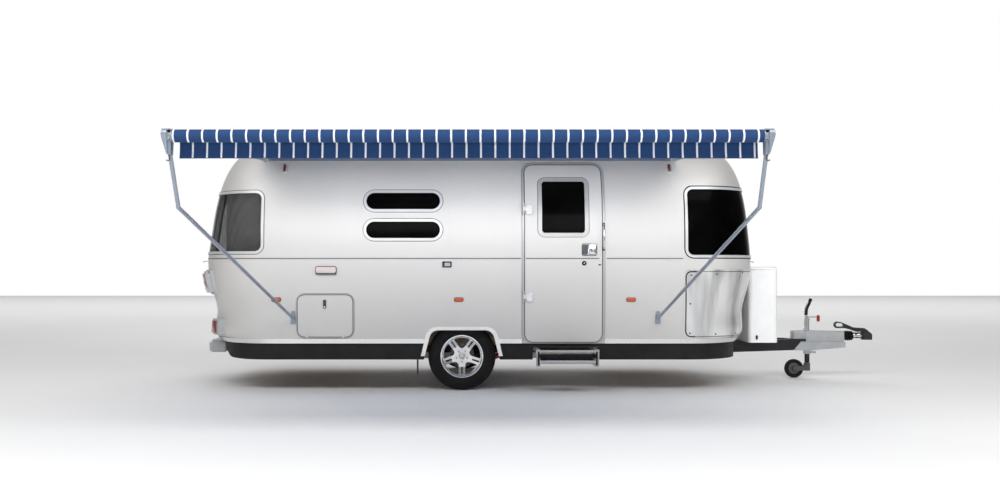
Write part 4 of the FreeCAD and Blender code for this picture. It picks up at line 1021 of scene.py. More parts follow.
def ring_points(u0, u1, v0, v1, radius, step=0.02):
    """Points all round a rounded rectangle."""
    corners = []
    for u, v, start in ((u1 - radius, v1 - radius, 0), (u0 + radius, v1 - radius, 90),
                        (u0 + radius, v0 + radius, 180), (u1 - radius, v0 + radius, 270)):
        for i in range(7):
            angle = math.radians(start + 15 * i)
            corners.append(Vector((u + radius * math.cos(angle), v + radius * math.sin(angle))))
    points = []
    for a, b in zip(corners, corners[1:] + corners[:1]):
        parts = max(1, round((b - a).length / step))
        points += [a.lerp(b, i / parts) for i in range(parts)]
    return points


def rect_ring(rect, grow):
    """Points all round a rounded rectangle, grown by a margin."""
    u0, u1, v0, v1, radius = rect
    return ring_points(u0 - grow, u1 + grow, v0 - grow, v1 + grow, radius + grow)


def corner_projection(start, inner, level, end, side):
    """Length of a line round one corner of the body, and the hit at a distance along it."""
    angles = [math.radians(i * 90 / 60) for i in range(61)]

    def shoot(angle, z):
        way = Vector((end * math.sin(angle), side * math.cos(angle), 0))
        return look(SKIN, at(start, side * inner, z) + way * SIGHT_SIDE, -way)

    run = travelled([shoot(angle, level)[0] for angle in angles])

    def project(s, z):
        return shoot(float(np.interp(s, run, angles)), z)

    return run[-1], project


def bead(name, hits, radius, finish, body=CHASSIS, closed=True, proud=0.0):
    """Round rubber or sealant line along the hits, or a dark line of painted shadow."""
    line = pipe(name, [hit + normal * proud for hit, normal in met(hits)], radius, 2, closed)
    return place(line, body, finish)


def make_seals():
    """Seal round every window frame, lying on the skin."""
    grow = FRAME_W + SEAL_GAP
    for name, x0, x1, z0, z1, radius, window_sides in SIDE_WINDOWS:
        for side, where in SIDES:
            if side in window_sides:
                ring = rect_ring((x0, x1, z0, z1, radius), grow)
                hits = [facing_side(on_side(u, v, side), side) for u, v in ring]
                bead(f"seal_{name}_{where}", hits, SEAL_R, "seam")
    for end, name, start, z0, z1, radius, finish in CORNER_WINDOWS:
        for side, where in SIDES:
            length, project = corner_projection(start - end * grow, CORNER_INNER - grow,
                                                z0 - grow, end, side)
            ring = ring_points(0, length, z0 - grow, z1 + grow, GLASS_R + grow)
            bead(f"seal_{name}_{where}", [project(u, v) for u, v in ring], radius, finish)
        ring = rect_ring((-CENTRE_HALF, CENTRE_HALF, z0, z1, GLASS_R), grow)
        bead(f"seal_{name}_centre", [on_end(u, v, end) for u, v in ring], SEAL_R, "rubber")


def girdle(z, front, step=0.04):
    """Hits round the body at one height, from the front of the near side round the rear."""
    spans = np.arange(front, WALLS_REAR_X, -step)
    hits = [facing_side(on_side(x, z, NEAR), NEAR) for x in spans]
    hits += [around(math.radians(-90 - i * 2.5), z, WALLS_REAR_X) for i in range(1, 72)]
    hits += [facing_side(on_side(x, z, FAR), FAR) for x in spans[::-1]]
    return met(hits)


def beside_door(hits, gap):
    """The hits ahead of the entrance on the near side, and those behind and round it."""
    ahead = [h for h in hits if h[0].y < -1 and h[0].x - AXLE_X > DOOR_X[1] + gap]
    behind = [h for h in hits if not (h[0].y < -1 and h[0].x - AXLE_X > DOOR_X[0] - gap)]
    return ahead, behind


def spaced(hits, pitch):
    """Points and normals at an even pitch along a line of hits."""
    run = np.array(travelled([hit for hit, _ in hits]))
    points = np.array([tuple(hit) for hit, _ in hits])
    normals = np.array([tuple(normal) for _, normal in hits])
    count = max(2, round(run[-1] / pitch))
    found = []
    for s in np.linspace(0, run[-1], count):
        point = Vector([float(np.interp(s, run, points[:, k])) for k in range(3)])
        normal = Vector([float(np.interp(s, run, normals[:, k])) for k in range(3)])
        found.append((point, normal.normalized()))
    return found


def strip(name, hits, body=CHASSIS):
    """Flat belt strip laid along a level line of hits: its section is swept upright."""
    rows = []
    for hit, normal in hits:
        rise = (UP - normal * UP.dot(normal)).normalized() * BELT_H / 2
        crown, back = normal * (BELT_T * 0.6), hit - rise - normal * 0.002
        rows.append([back, hit - rise + crown, hit - rise * 0.6 + normal * BELT_T,
                     hit + rise * 0.6 + normal * BELT_T, hit + rise + crown,
                     hit + rise - normal * 0.002, back])
    obj = tidy_mesh(grid_through(name, rows), 1e-6)
    with editing(obj):
        bpy.ops.mesh.fill_holes(sides=6)
        bpy.ops.mesh.normals_make_consistent(inside=False)
    return place(smooth(obj, 40), body, "seam")


def make_belt():
    """Lap strip at the belt: round the body, broken at the entrance, and across the door."""
    ahead, behind = beside_door(girdle(BELT_Z, BELT_FRONT, 0.03), 0.004)
    strip("belt_front", ahead)
    strip("belt_rear", behind)
    strip("belt_door", [on_side(x, BELT_Z) for x in np.arange(*DOOR_SKIN_X, 0.03)],
          "entrance_door")


def rivet_model(radius, height):
    """Low domed head, modelled at the origin along +Z."""
    deselect()
    bpy.ops.mesh.primitive_circle_add(vertices=8, radius=radius, fill_type="NGON")
    head = named("rivet")
    with editing(head):
        for rise, scale in ((height * 0.6, 0.86), (height * 0.4, 0.6)):
            bpy.ops.mesh.extrude_region_move(TRANSFORM_OT_translate={"value": (0, 0, rise)})
            bpy.ops.transform.resize(value=(scale, scale, 1))
    return tidy_mesh(head, 1e-6)


def rivet_rows():
    """Lines of hits that carry rivets: belt, end joints, roof joint and wall frames."""
    rows = []
    for z in (BELT_Z + BELT_ROWS, BELT_Z - BELT_ROWS):
        rows += beside_door(girdle(z, BELT_FRONT - 0.03), 0.03)
    for x in END_JOINTS_X:
        rows.append([over(x, a) for a in np.linspace(-END_JOINT_SWEEP, END_JOINT_SWEEP, 120)])
    rows.append([over(x, ROOF_JOINT) for x in np.arange(-1.7, 2.0, 0.06)])
    for side, frames_x in WALL_FRAMES:
        for x in frames_x:
            foot = ARCH_TOP_Z if abs(x) < ARCH_HALF else WALL_FOOT_Z
            rows.append([facing_side(on_side(x, z, side), side)
                         for z in np.arange(foot, WALL_TOP_Z, 0.05)])
    return [met(row) for row in rows]


def make_rivets():
    """Rows of rivet heads along the joints and frames of the body."""
    radius, pitch = sizes().rivet_radius, sizes().rivet_pitch
    stances = [aimed(point - normal * 0.0002, normal)
               for row in rivet_rows() if len(row) > 2 for point, normal in spaced(row, pitch)]
    place(copies("skin_rivets", rivet_model(radius, radius * 0.42), stances), CHASSIS, "rivet")


# ---- small fittings, modelled at the origin facing +Z and then stood on the body
# plates: width, height, corner radius, thickness, radius of the edges
PLATES = {
    "latch_bezel": (0.152, 0.122, 0.012, 0.012, 0.002),
    "latch_paddle": (0.068, 0.092, 0.008, 0.015, 0.003),
    "latch_recess_shade": (0.05, 0.088, 0.008, 0.0012, 0),
    "door_catch": (0.026, 0.013, 0.005, 0.008, 0.002),
    "grab_mount": (0.024, 0.036, 0.011, 0.014, 0.004),
    "hatch_latch_body": (0.03, 0.09, 0.0149, 0.011, 0.002),
    "hinge_leaf": (0.056, 0.088, 0.008, 0.0045, 0.0012),
    "marker_base": (0.098, 0.046, 0.02, 0.004, 0.001),
    "marker_lens": (0.09, 0.039, 0.018, 0.016, 0.006),
    "clearance_base": (0.05, 0.1, 0.014, 0.012, 0.004),
    "clearance_lens": (0.026, 0.088, 0.01, 0.03, 0.008),
    "awning_lamp_base": (0.212, 0.08, 0.026, 0.016, 0.004),
    "awning_lamp_lens": (0.198, 0.062, 0.02, 0.034, 0.01),
    "awning_lamp_foot": (0.2, 0.012, 0.005, 0.03, 0.003),
    "socket_box": (0.092, 0.058, 0.009, 0.016, 0.003),
    "socket_cover": (0.058, 0.034, 0.006, 0.0065, 0.002),
    "locker_keep": (0.034, 0.05, 0.006, 0.006, 0.0015),
    "locker_lever": (0.022, 0.062, 0.006, 0.009, 0.003),
    "locker_drain": (0.022, 0.046, 0.0105, 0.008, 0.003),
    "vent_panel": (0.40, 0.40, 0.05, 0.01, 0.003),
}
TAIL_LENS_EDGES = (0.012, 0.0045, 0.0015)   # corner radius, thickness, radius of the edges

# turned pieces: their closed outlines of (height, radius)
TURNED = {
    "lock_ring": ((-0.002, 0), (-0.002, 0.0225), (0.006, 0.0225), (0.010, 0.018),
                  (0.010, 0.009), (0.007, 0.008), (0.007, 0)),
    "lock_core": ((0.002, 0), (0.002, 0.0065), (0.010, 0.0065), (0.011, 0.005), (0.011, 0)),
    "hatch_key_barrel": ((0.002, 0), (0.002, 0.0095), (0.0125, 0.0095), (0.0135, 0.008),
                         (0.0135, 0.0035), (0.0115, 0.003), (0.0115, 0)),
    "rim_lip": ((0.079, 0.1885), (0.0815, 0.1885), (0.083, 0.1925), (0.0895, 0.1965),
                (0.0945, 0.2035), (0.0945, 0.2105), (0.0915, 0.2125), (0.0895, 0.2095),
                (0.0885, 0.2045), (0.0835, 0.1985)),
    "hub_cap": ((0.060, 0), (0.060, 0.027), (0.0665, 0.027), (0.069, 0.0245), (0.070, 0.0205),
                (0.0685, 0.0195), (0.0695, 0.012), (0.0705, 0)),
    "wheel_bolt": ((0.046, 0), (0.046, 0.0085), (0.0585, 0.0085), (0.060, 0.007),
                   (0.060, 0.004), (0.057, 0.003), (0.057, 0)),
    "tyre_valve": ((0.05, 0), (0.05, 0.005), (0.062, 0.0036), (0.078, 0.0032), (0.079, 0.0045),
                   (0.086, 0.0045), (0.087, 0)),
    "grip_rib": ((-0.0035, 0.0165), (-0.0028, 0.0192), (0.0028, 0.0192), (0.0035, 0.0165)),
    "jockey_hub": ((0.011, 0.0085), (0.011, 0.062), (0.0135, 0.0625), (0.0165, 0.056),
                   (0.0145, 0.030), (0.0205, 0.026), (0.0205, 0.0085)),
    "jockey_sleeve": ((0.1665, 0.0242), (0.1665, 0.0258), (0.1700, 0.0268), (0.2560, 0.0268),
                      (0.2610, 0.0258), (0.2610, 0.0242)),
    "guard_stud": ((-0.001, 0), (-0.001, 0.009), (0.002, 0.009), (0.0045, 0.005), (0.0045, 0)),
}
COLLAR = ((0, 0.0275), (0, 0.031), (0.006, 0.033), (0.03, 0.033), (0.034, 0.0305),
          (0.045, 0.0305), (0.049, 0.033), (0.082, 0.033), (0.088, 0.031), (0.088, 0.0275))
CASTING_HUB = ((0, 0), (0, 0.026), (0.006, 0.028), (0.010, 0.024), (0.012, 0.010),
               (0.018, 0.008), (0.018, 0))


def plate(name, width, height, radius, thick, edge):
    """Rounded plate in the x-y plane, its back at z = 0."""
    ring = ring_points(-width / 2, width / 2, -height / 2, height / 2, radius, 1.0)
    return slab(name, [(p.x, p.y, 0) for p in ring], (0, 0, thick), edge)


def plate_of(kind, suffix=""):
    return plate(kind + suffix, *PLATES[kind])


def dished(kind, margin, depth):
    """Plate whose flat top is sunk inside a margin."""
    obj, thick = plate_of(kind), PLATES[kind][3]
    with editing(obj):
        bpy.ops.mesh.select_all(action="DESELECT")
        mesh = bmesh.from_edit_mesh(obj.data)
        for face in mesh.faces:
            face.select = face.normal.z > 0.99 and face.calc_center_median().z > thick - 1e-5
        bmesh.update_edit_mesh(obj.data)
        bpy.ops.mesh.inset(thickness=margin, depth=0)
        bpy.ops.transform.translate(value=(0, 0, -depth))
    return smooth(obj)


def knob_of(name, outline, steps=32):
    """Round piece from an outline of (height, radius) about the z axis."""
    return lathe(name, outline, (0, 0, 0), UP, steps, up=Vector((1, 0, 0)))


def turned(kind, suffix="", steps=32):
    return knob_of(kind + suffix, TURNED[kind], steps)


def moved(obj, offset):
    obj.location = offset
    return settle(obj)


def stand(obj, stance):
    """Carry a finished piece from the origin to its place."""
    obj.matrix_world = stance
    return settle(obj)


def fit(obj, stance, body, finish, replaces=(), offset=None):
    """Stand a piece in its place, after a move within its own axes, and give it all it needs."""
    if offset:
        moved(obj, offset)
    return place(stand(obj, stance), body, finish, replaces)


# ---- door, hatch and wall
LATCH = (1.2485, 1.391)     # centre of the door's latch
DOOR_LOCK = (1.1985, 1.2575)
DOOR_CATCH = (1.3495, 1.243)
HANDLE = (1.389, 1.398, 1.636)  # x, then the heights of its two mounts
HANDLE_OUT, HANDLE_R = 0.052, 0.0085
HATCH_LATCH = (-1.3435, 0.856)
HINGES = ((0.664, 0.93), (0.660, 1.78))
MARKERS_X, MARKERS_Z = (-1.82, -0.03, 1.66), 0.9
CLEARANCE_X, CLEARANCE_Z = (-1.76, 2.07), 2.2
AWNING_LAMP = (-1.33, 1.19)
SOCKET = (-0.145, 1.2455)
# lens: finish, y and z of its middle, width and height
TAIL_LENSES = (("amber", 0.935, 1.118, 0.11, 0.056), ("red", 0.935, 1.052, 0.11, 0.056),
               ("clear", 0.935, 0.992, 0.11, 0.04), ("red", 0.98, 0.62, 0.13, 0.12))


def make_door_latch():
    """Paddle latch in its bezel, key lock and catch; a dark plate in the bezel's pocket is painted
    shade.
    """
    door = "entrance_door"
    latch, lock = aimed(*on_door(*LATCH)), aimed(*on_door(*DOOR_LOCK))
    fit(dished("latch_bezel", 0.012, 0.007), latch, door, "chrome", ("door_latch",))
    fit(plate_of("latch_paddle"), latch, door, "chrome", offset=(0.028, 0, 0.004))
    # dark plate of painted shade in the pocket beside the paddle
    fit(plate_of("latch_recess_shade"), latch, door, "shade", offset=(-0.037, 0, 0.0055))
    fit(turned("lock_ring"), lock, door, "rubber")
    fit(turned("lock_core"), lock, door, "chrome")
    fit(plate_of("door_catch"), aimed(*on_door(*DOOR_CATCH)), door, "black")


def make_grab_handle():
    """Bow handle on the door's frame, with a mount at each end."""
    x, low, high = HANDLE
    foot, head = on_side(x, low)[0], on_side(x, high)[0]
    out, bend = Vector((0, -HANDLE_OUT, 0)), Vector((0, 0, 0.02))
    line = [foot, foot + out * 0.7, foot + out + bend, foot.lerp(head, 0.5) + out * 1.25,
            head + out - bend, head + out * 0.7, head]
    place(pipe("grab_bow", line, HANDLE_R, 5), CHASSIS, "chrome", ("grab_handle",))
    for name, spot in (("lower", foot), ("upper", head)):
        fit(plate_of("grab_mount", f"_{name}"),
            aimed(spot + Vector((0, 0.002, 0)), Vector((0, -1, 0))), CHASSIS, "black")


def make_hatch_latch():
    """Black slam latch with its key barrel, on the service hatch."""
    latch = aimed(*on_side(*HATCH_LATCH))
    fit(dished("hatch_latch_body", 0.004, 0.003), latch, "service_hatch", "gloss",
        ("hatch_latch",))
    fit(turned("hatch_key_barrel"), latch, "service_hatch", "chrome",
        offset=(0, -0.028, 0))


def make_side_lamps():
    """Amber markers on thin dark bases, and the upper clearance lamps."""
    for side, where in SIDES:
        for i, x in enumerate(MARKERS_X):
            spot, suffix = aimed(*on_side(x, MARKERS_Z, side)), f"_{where}_{i}"
            fit(plate_of("marker_base", suffix), spot, CHASSIS, "black",
                ("side_lamps",) if (side, i) == (NEAR, 0) else ())
            fit(plate_of("marker_lens", suffix), spot, CHASSIS, "amber")
        for i, x in enumerate(CLEARANCE_X):
            spot, suffix = aimed(*on_side(x, CLEARANCE_Z, side)), f"_{where}_{i}"
            fit(plate_of("clearance_base", suffix), spot, CHASSIS, "grey")
            fit(plate_of("clearance_lens", suffix), spot, CHASSIS, "brown",
                offset=(0.006 * side, -0.004, 0.004))


def make_wall_fittings():
    """Awning lamp with its pale lens and dark foot, and the outside socket."""
    lamp, socket = aimed(*on_side(*AWNING_LAMP)), aimed(*on_side(*SOCKET))
    fit(plate_of("awning_lamp_base"), lamp, CHASSIS, "brown",
        ("wall_fittings",))
    fit(plate_of("awning_lamp_lens"), lamp, CHASSIS, "clear",
        offset=(0, 0.001, 0))
    fit(plate_of("awning_lamp_foot"), lamp, CHASSIS, "shade",
        offset=(0, -0.037, 0))
    fit(dished("socket_box", 0.008, 0.004), socket, CHASSIS, "black")
    fit(plate_of("socket_cover"), socket, CHASSIS, "grey",
        offset=(0.004, 0, 0.0105))


def make_tail_lenses():
    """Coloured lenses on the rear lamp clusters and fog lamps."""
    for side, where in SIDES:
        for i, (colour, y, z, width, height) in enumerate(TAIL_LENSES):
            hit, normal = on_end(side * y, z, -1, TAIL_TREE)
            glass = plate(f"tail_lens_{where}_{i}", width, height, *TAIL_LENS_EDGES)
            fit(glass, aimed(hit - normal * 0.002, normal), CHASSIS, colour)


def make_hinge_leaves():
    """Leaves of the door's hinges, riveted to the door."""
    for i, spot in enumerate(HINGES):
        leaf = aimed(*on_door(*spot))
        fit(plate_of("hinge_leaf", f"_{i}"), leaf, "entrance_door", "vent")
        rivets = [leaf @ Matrix.Translation((u, v, 0.0044)) for u in (-0.016, 0.016)
                  for v in (-0.028, 0, 0.028)]
        place(copies(f"hinge_rivets_{i}", rivet_model(0.004, 0.0018), rivets), "entrance_door",
              "bright")


# ---- wheels
HUB_NEAR = at(0, 0, WHEEL_R) + Vector((0, WHEEL_Y, 0))
BEAD_R, BEAD_HALF = 0.197, 0.0725
GROOVES = (0.052, 0.018, -0.018, -0.052)    # of the tread, across the tyre
LUGS = 60
LUG_ACROSS = (TYRE_W / 2 - 0.036, TYRE_W / 2 - 0.0125)
BOLTS = 5
BOLT_CIRCLE = 0.056
VALVE = (0.105, 0.135, -0.006)


def wheel_stance(side):
    """Matrix from a wheel modelled at the origin, facing +Z, to its hub."""
    return aimed(Vector((HUB_NEAR.x, -side * HUB_NEAR.y, HUB_NEAR.z)), Vector((0, side, 0)))


def tyre_outline():
    """Half-open section with four grooves, as (across, radius), from bead to bead."""
    half, r, depth = TYRE_W / 2, WHEEL_R, sizes().tread_depth
    side = [(BEAD_HALF, BEAD_R), (BEAD_HALF, 0.2115), (half - 0.0125, 0.2145),
            (half - 0.004, 0.232), (half - 0.0015, 0.252), (half - 0.002, 0.262),
            (half, 0.268), (half - 0.0015, 0.276), (half - 0.005, 0.296),
            (half - 0.011, 0.314), (half - 0.017, 0.3235), (half - 0.026, r - 0.003)]
    tread = [(half - 0.034, r - 0.001)]
    for centre in GROOVES:
        tread += [(centre + 0.005, r - 0.0004), (centre + 0.0036, r - depth),
                  (centre - 0.0036, r - depth), (centre - 0.005, r - 0.0004)]
    tread.append((-half + 0.034, r - 0.001))
    return side + tread + [(-u, v) for u, v in side[::-1]]


def tread_lug():
    """Short rubber bar across the shoulder, curved down to follow it."""
    start, end = LUG_ACROSS
    lug = block("tyre_lug", (WHEEL_R - 0.009, -0.0058, start), (WHEEL_R - 0.0004, 0.0058, end),
                0.0015)
    for vertex in lug.data.vertices:
        share = max(0, (vertex.co.z - start) / (end - start))
        vertex.co.x -= 0.011 * share ** 2 * (1 if vertex.co.x > WHEEL_R - 0.005 else 0.9)
    return lug


def make_tyres():
    """Road tyres with grooved treads, shoulder lugs and plain ringed walls."""
    flip = Matrix.Rotation(math.pi, 4, "X")
    turns = [Matrix.Rotation(math.tau * i / LUGS, 4, "Z") for i in range(LUGS)]
    for side, where in SIDES:
        carcass = knob_of(f"road_tyre_{where}", tyre_outline(), 120)
        lugs = copies(f"tread_lugs_{where}", tread_lug(), turns + [t @ flip for t in turns])
        tyre = smooth(join(f"road_tyre_{where}", [carcass, lugs]))
        fit(tyre, wheel_stance(side), f"wheel_{where}", "tyre", (f"tyre_{where}",))


def make_wheel_trims():
    """Machined lip ring, centre cap, wheel bolts and tyre valve on each road wheel."""
    angles = [math.tau * i / BOLTS - math.pi / 2 for i in range(BOLTS)]
    spots = [Matrix.Translation((BOLT_CIRCLE * math.cos(a), BOLT_CIRCLE * math.sin(a), 0))
             for a in angles]
    for side, where in SIDES:
        hub, body, suffix = wheel_stance(side), f"wheel_{where}", f"_{where}"
        fit(turned("rim_lip", suffix, 96), hub, body, "lip")
        fit(turned("hub_cap", suffix, 48), hub, body, "cap")
        bolts = copies(f"wheel_bolts_{where}", turned("wheel_bolt", steps=12), spots)
        fit(bolts, hub, body, "zinc")
        fit(turned("tyre_valve", suffix, 12), hub, body, "black", offset=VALVE)


# ---- gaps of the door and the hatch
DOOR_FRAME_W, DOOR_SILL = 0.028, 0.015      # of its frame, outside the door
DOOR_FRAME_Z = reach("door_frame", "z")
# x and z spans and corner radius
DOOR_RECT = (DOOR_X[0] + DOOR_FRAME_W, DOOR_X[1] - DOOR_FRAME_W,
             DOOR_FRAME_Z[0] + DOOR_SILL, DOOR_FRAME_Z[1] - DOOR_FRAME_W, 0.08)
DOOR_GLASS = (*reach("door_pane", "x"), *reach("door_pane", "z"), 0.03)
HATCH_FOOT_Z = 0.536
HATCH_RECT = (*reach("service_hatch", "x"), HATCH_FOOT_Z, reach("service_hatch", "z")[1], 0.065)
GLASS_SEAL = 0.0415         # from the door's pane to the seal round its frame


def make_gap_seals():
    """Rubber in the gaps round the door and the hatch, and dark lines of painted shadow outside
    their frames.
    """
    for name, rect, gap, rim in (("door", DOOR_RECT, 0.0045, 0.0298),
                                 ("hatch", HATCH_RECT, 0.0035, 0.0158)):
        bead(f"gap_{name}", [on_side(u, v, NEAR, OPENING_FRAMES) for u, v in rect_ring(rect, gap)],
             0.003, "rubber", proud=0.0005)
        # dark line of painted shadow just outside each frame
        bead(f"outline_{name}", [on_side(u, v) for u, v in rect_ring(rect, rim)], 0.0022,
             "shade")
    bead("seal_door_glass", [on_door(u, v) for u, v in rect_ring(DOOR_GLASS, GLASS_SEAL)],
         0.003, "seam", "entrance_door")


# ---- towing end
COLLAR_AT = at(4.296, 0, 0.4645)
GRIP_Y, GRIP_R = -0.037, 0.0175
GRIP_LINE = ((3.771, 0.69), (3.7735, 0.735), (3.779, 0.77), (3.794, 0.80), (3.809, 0.83),
             (3.826, 0.869))
GRIP_RIBS = 13
KNOB_X, KNOB_FOOT_Z = 3.918, 0.618
KNOB_TOP_Z = reach("jockey_tube", "z")[1]
KNOB = ((KNOB_FOOT_Z - 0.002, 0), (KNOB_FOOT_Z - 0.002, 0.011), (KNOB_FOOT_Z + 0.002, 0.0155),
        (KNOB_FOOT_Z + 0.03, 0.0175), (KNOB_TOP_Z - 0.012, 0.0175),
        (KNOB_TOP_Z - 0.002, 0.0135), (KNOB_TOP_Z + 0.003, 0.006), (KNOB_TOP_Z + 0.003, 0))
JOCKEY_X = 3.794


def make_brake_grip():
    """Curved rubber grip of the brake lever, with a rib round it at every pitch."""
    points = [at(x, GRIP_Y, z) for x, z in GRIP_LINE]
    place(pipe("brake_grip", points, GRIP_R), CHASSIS, "rubber")
    guide = bpy.data.objects.new("grip_guide", smooth_line("grip_guide", points, parts=12))
    track = [v.co.copy() for v in bpy.data.meshes.new_from_object(guide).vertices]
    bpy.data.objects.remove(guide)
    last = len(track) - 1
    ribs = []
    for share in np.linspace(0.06, 0.94, GRIP_RIBS):
        i = int(share * last)
        ahead = track[min(i + 1, last)] - track[max(i - 1, 0)]
        ribs.append(aimed(track[i], ahead.normalized()))
    place(copies("grip_ribs", turned("grip_rib", steps=16), ribs), CHASSIS, "rubber")


def make_jockey_fittings():
    """Red knob and black sleeve on the jockey tube, and discs on its wheel."""
    place(moved(knob_of("jockey_knob", KNOB), at(KNOB_X, 0, 0)), CHASSIS, "knob")
    place(moved(turned("jockey_sleeve", steps=48), at(JOCKEY_X, 0, 0)), CHASSIS, "chassis")
    low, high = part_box("jockey_wheel")
    for side, where in SIDES:
        fit(turned("jockey_hub", f"_{where}", 48), aimed((low + high) / 2, Vector((0, side, 0))),
            "jockey_wheel", "shade")


def make_coupling_collar():
    """Plated collar round the coupling."""
    collar = lathe("coupling_collar", COLLAR, COLLAR_AT, (1, 0, 0), 48)
    place(collar, CHASSIS, "chrome")


# ---- locker, stone guards, step and small outer pieces
LOCKER_LOW, LOCKER_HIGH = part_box("gas_locker")
CATCH_Y, CATCH_Z = 0.3, 1.13
DRAIN_X, DRAIN_Z = 3.067, 0.486

GUARD_X = (2.198, 2.25)     # rear edge of a guard, and where its corners end
GUARD_Z = (0.536, 1.176)
GUARD_CORNER = 0.052
GUARD_CENTRE_X = 1.9        # of the front corner that a guard is bent round
GUARD_END_Y = 0.65
STUDS = ((2.24, 0.57), (2.24, 0.86), (2.25, 1.14), (2.5, 1.15), (2.8, 1.165), (2.5, 0.56),
         (2.74, 0.56))

TREAD_Z = 0.322             # top of the step, above the ground
TREAD_RIBS, TREAD_PITCH = 9, 0.022
STEP_BAR_Z = (0.275, 0.405)
# heights of the painted shadow band across the step's front
STEP_SHADOW_BAND_Z = (0.343, 0.383)
STEP_BAR_W = 0.017

HOOK = ((0, -0.012, 0.02), (0.018, -0.02, 0.005), (0.026, -0.02, -0.022),
        (0.012, -0.02, -0.040), (-0.002, -0.02, -0.030))
HOOK_R = 0.0042
CASTING_IN, HOOK_DROP = 0.034, 0.135        # in from the arms' ends, below the roller
PIN_R = 0.0045
VENT_X = -0.7


def make_locker_fittings():
    """Over-centre catches on the locker's front and a drain cap on each side."""
    for i, side in enumerate((NEAR, FAR)):
        front = aimed(Vector((LOCKER_HIGH.x, side * CATCH_Y, GROUND_Z + CATCH_Z)),
                      Vector((1, 0, 0)))
        fit(plate_of("locker_keep", f"_front_{i}"), front, CHASSIS, "zinc")
        fit(plate_of("locker_lever", f"_front_{i}"), front, CHASSIS, "black",
            offset=(0, -0.006, 0.0055))
    for side, where in SIDES:
        flank = aimed(at(DRAIN_X, side * abs(LOCKER_LOW.y), DRAIN_Z), Vector((0, side, 0)))
        fit(plate_of("locker_drain", f"_{where}"), flank, CHASSIS, "black")


def on_guard(angle, z, side):
    """Hit on a stone guard, looking from outside at the centre of its bend."""
    way = Vector((math.cos(angle), side * math.sin(angle), 0))
    return look(GUARD_TREE, at(GUARD_CENTRE_X, 0, z) + way * SIGHT_SIDE, -way)


def guard_outline():
    """Points of a guard's lower corner, rear edge and upper corner, as (x, z)."""
    (rear, x), (foot, top), r = GUARD_X, GUARD_Z, GUARD_CORNER
    turn = np.linspace(0.2, 1.4, 5)
    low = [(x - r * math.sin(a), foot + r - r * math.cos(a)) for a in turn]
    high = [(x - r * math.cos(a), top - r + r * math.sin(a)) for a in turn]
    return low + [(rear, z) for z in np.linspace(0.60, 1.11, 14)] + high


def make_guard_shadow_lines():
    """Dark lines that stand in for the shadow at each stone guard's raised edge, thicker at its
    rear edge, and studs.
    """
    (_, x), (foot, top) = GUARD_X, GUARD_Z
    rear = guard_outline()
    edge = [(x + 0.04, foot), (x, foot)] + rear + [(x + 0.01, top), (x + 0.05, top)]
    sweep = np.radians(np.linspace(70, 33, 26))
    for side, where in SIDES:
        thick = [on_side(u, v, side, GUARD_TREE) for u, v in edge]
        # thick black line of painted shadow along the guard's rear edge
        bead(f"guard_edge_shadow_{where}", thick, 0.006, "rubber", closed=False, proud=0.001)
        # thin dark line of painted shadow all round the guard
        thin = ([on_side(u, v, side, GUARD_TREE) for u, v in rear]
                + [on_guard(a, top, side) for a in sweep]
                + [on_end(side * GUARD_END_Y, z, 1, GUARD_TREE)
                   for z in np.linspace(1.165, 0.55, 12)]
                + [on_guard(a, foot, side) for a in sweep[::-1]])
        bead(f"guard_line_{where}", thin, 0.0032, "shade", proud=0.0005)
        studs = met([on_side(u, v, side, GUARD_TREE) for u, v in STUDS])
        place(copies(f"guard_studs_{where}", turned("guard_stud", steps=12),
                     [aimed(*stud) for stud in studs]), CHASSIS, "shade")


def make_step_treads():
    """Ribbed non-slip strips on the step's tread, dark bars in its sides and a dark band of painted
    shadow across its front.
    """
    low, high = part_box("entry_step")
    rib = block("tread_rib", (low.x + 0.045, 0, 0), (high.x - 0.045, 0.006, 0.003), 0.001)
    rows = [Matrix.Translation((0, low.y + 0.03 + TREAD_PITCH * i, GROUND_Z + TREAD_Z - 0.0005))
            for i in range(TREAD_RIBS)]
    place(copies("step_ribs", rib, rows), "entry_step", "rubber")
    foot, top = STEP_BAR_Z
    for name, x in (("rear", low.x + 0.016), ("front", high.x - 0.016 - STEP_BAR_W)):
        bar = block(f"step_bar_{name}", (x, low.y - 0.0025, GROUND_Z + foot),
                    (x + STEP_BAR_W, low.y + 0.004, GROUND_Z + top), 0.001)
        place(bar, "entry_step", "rubber")
    # dark band of painted shadow set into the step's front
    foot, top = STEP_SHADOW_BAND_Z
    shadow_band = block("step_shadow_band", (low.x + 0.02, low.y + 0.006, GROUND_Z + foot),
                  (high.x - 0.02, low.y + 0.012, GROUND_Z + top), 0.002)
    place(shadow_band, "entry_step", "rubber")


def make_end_pins():
    """Small flag pins on the rear wall and ahead of the front window."""
    for name, (hit, normal), length in (("rear", on_end(-0.8, 1.277, -1), 0.05),
                                        ("front", on_end(-0.9, 1.272, 1), 0.04)):
        tip = hit + Vector((normal.x, 0, 0)).normalized() * length
        line = [hit, hit.lerp(tip, 0.6), tip, tip + Vector((0, 0, -0.012))]
        place(pipe(f"wall_pin_{name}", line, PIN_R, 4), CHASSIS, "zinc")


def make_vent_panel():
    """Raised panel on the roof window's lid."""
    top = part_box("vent_lid")[1].z - 0.0035
    spot = Matrix.Translation((at(VENT_X, 0, 0).x, 0, top))
    fit(dished("vent_panel", 0.03, 0.004), spot, "vent_lid", "vent")


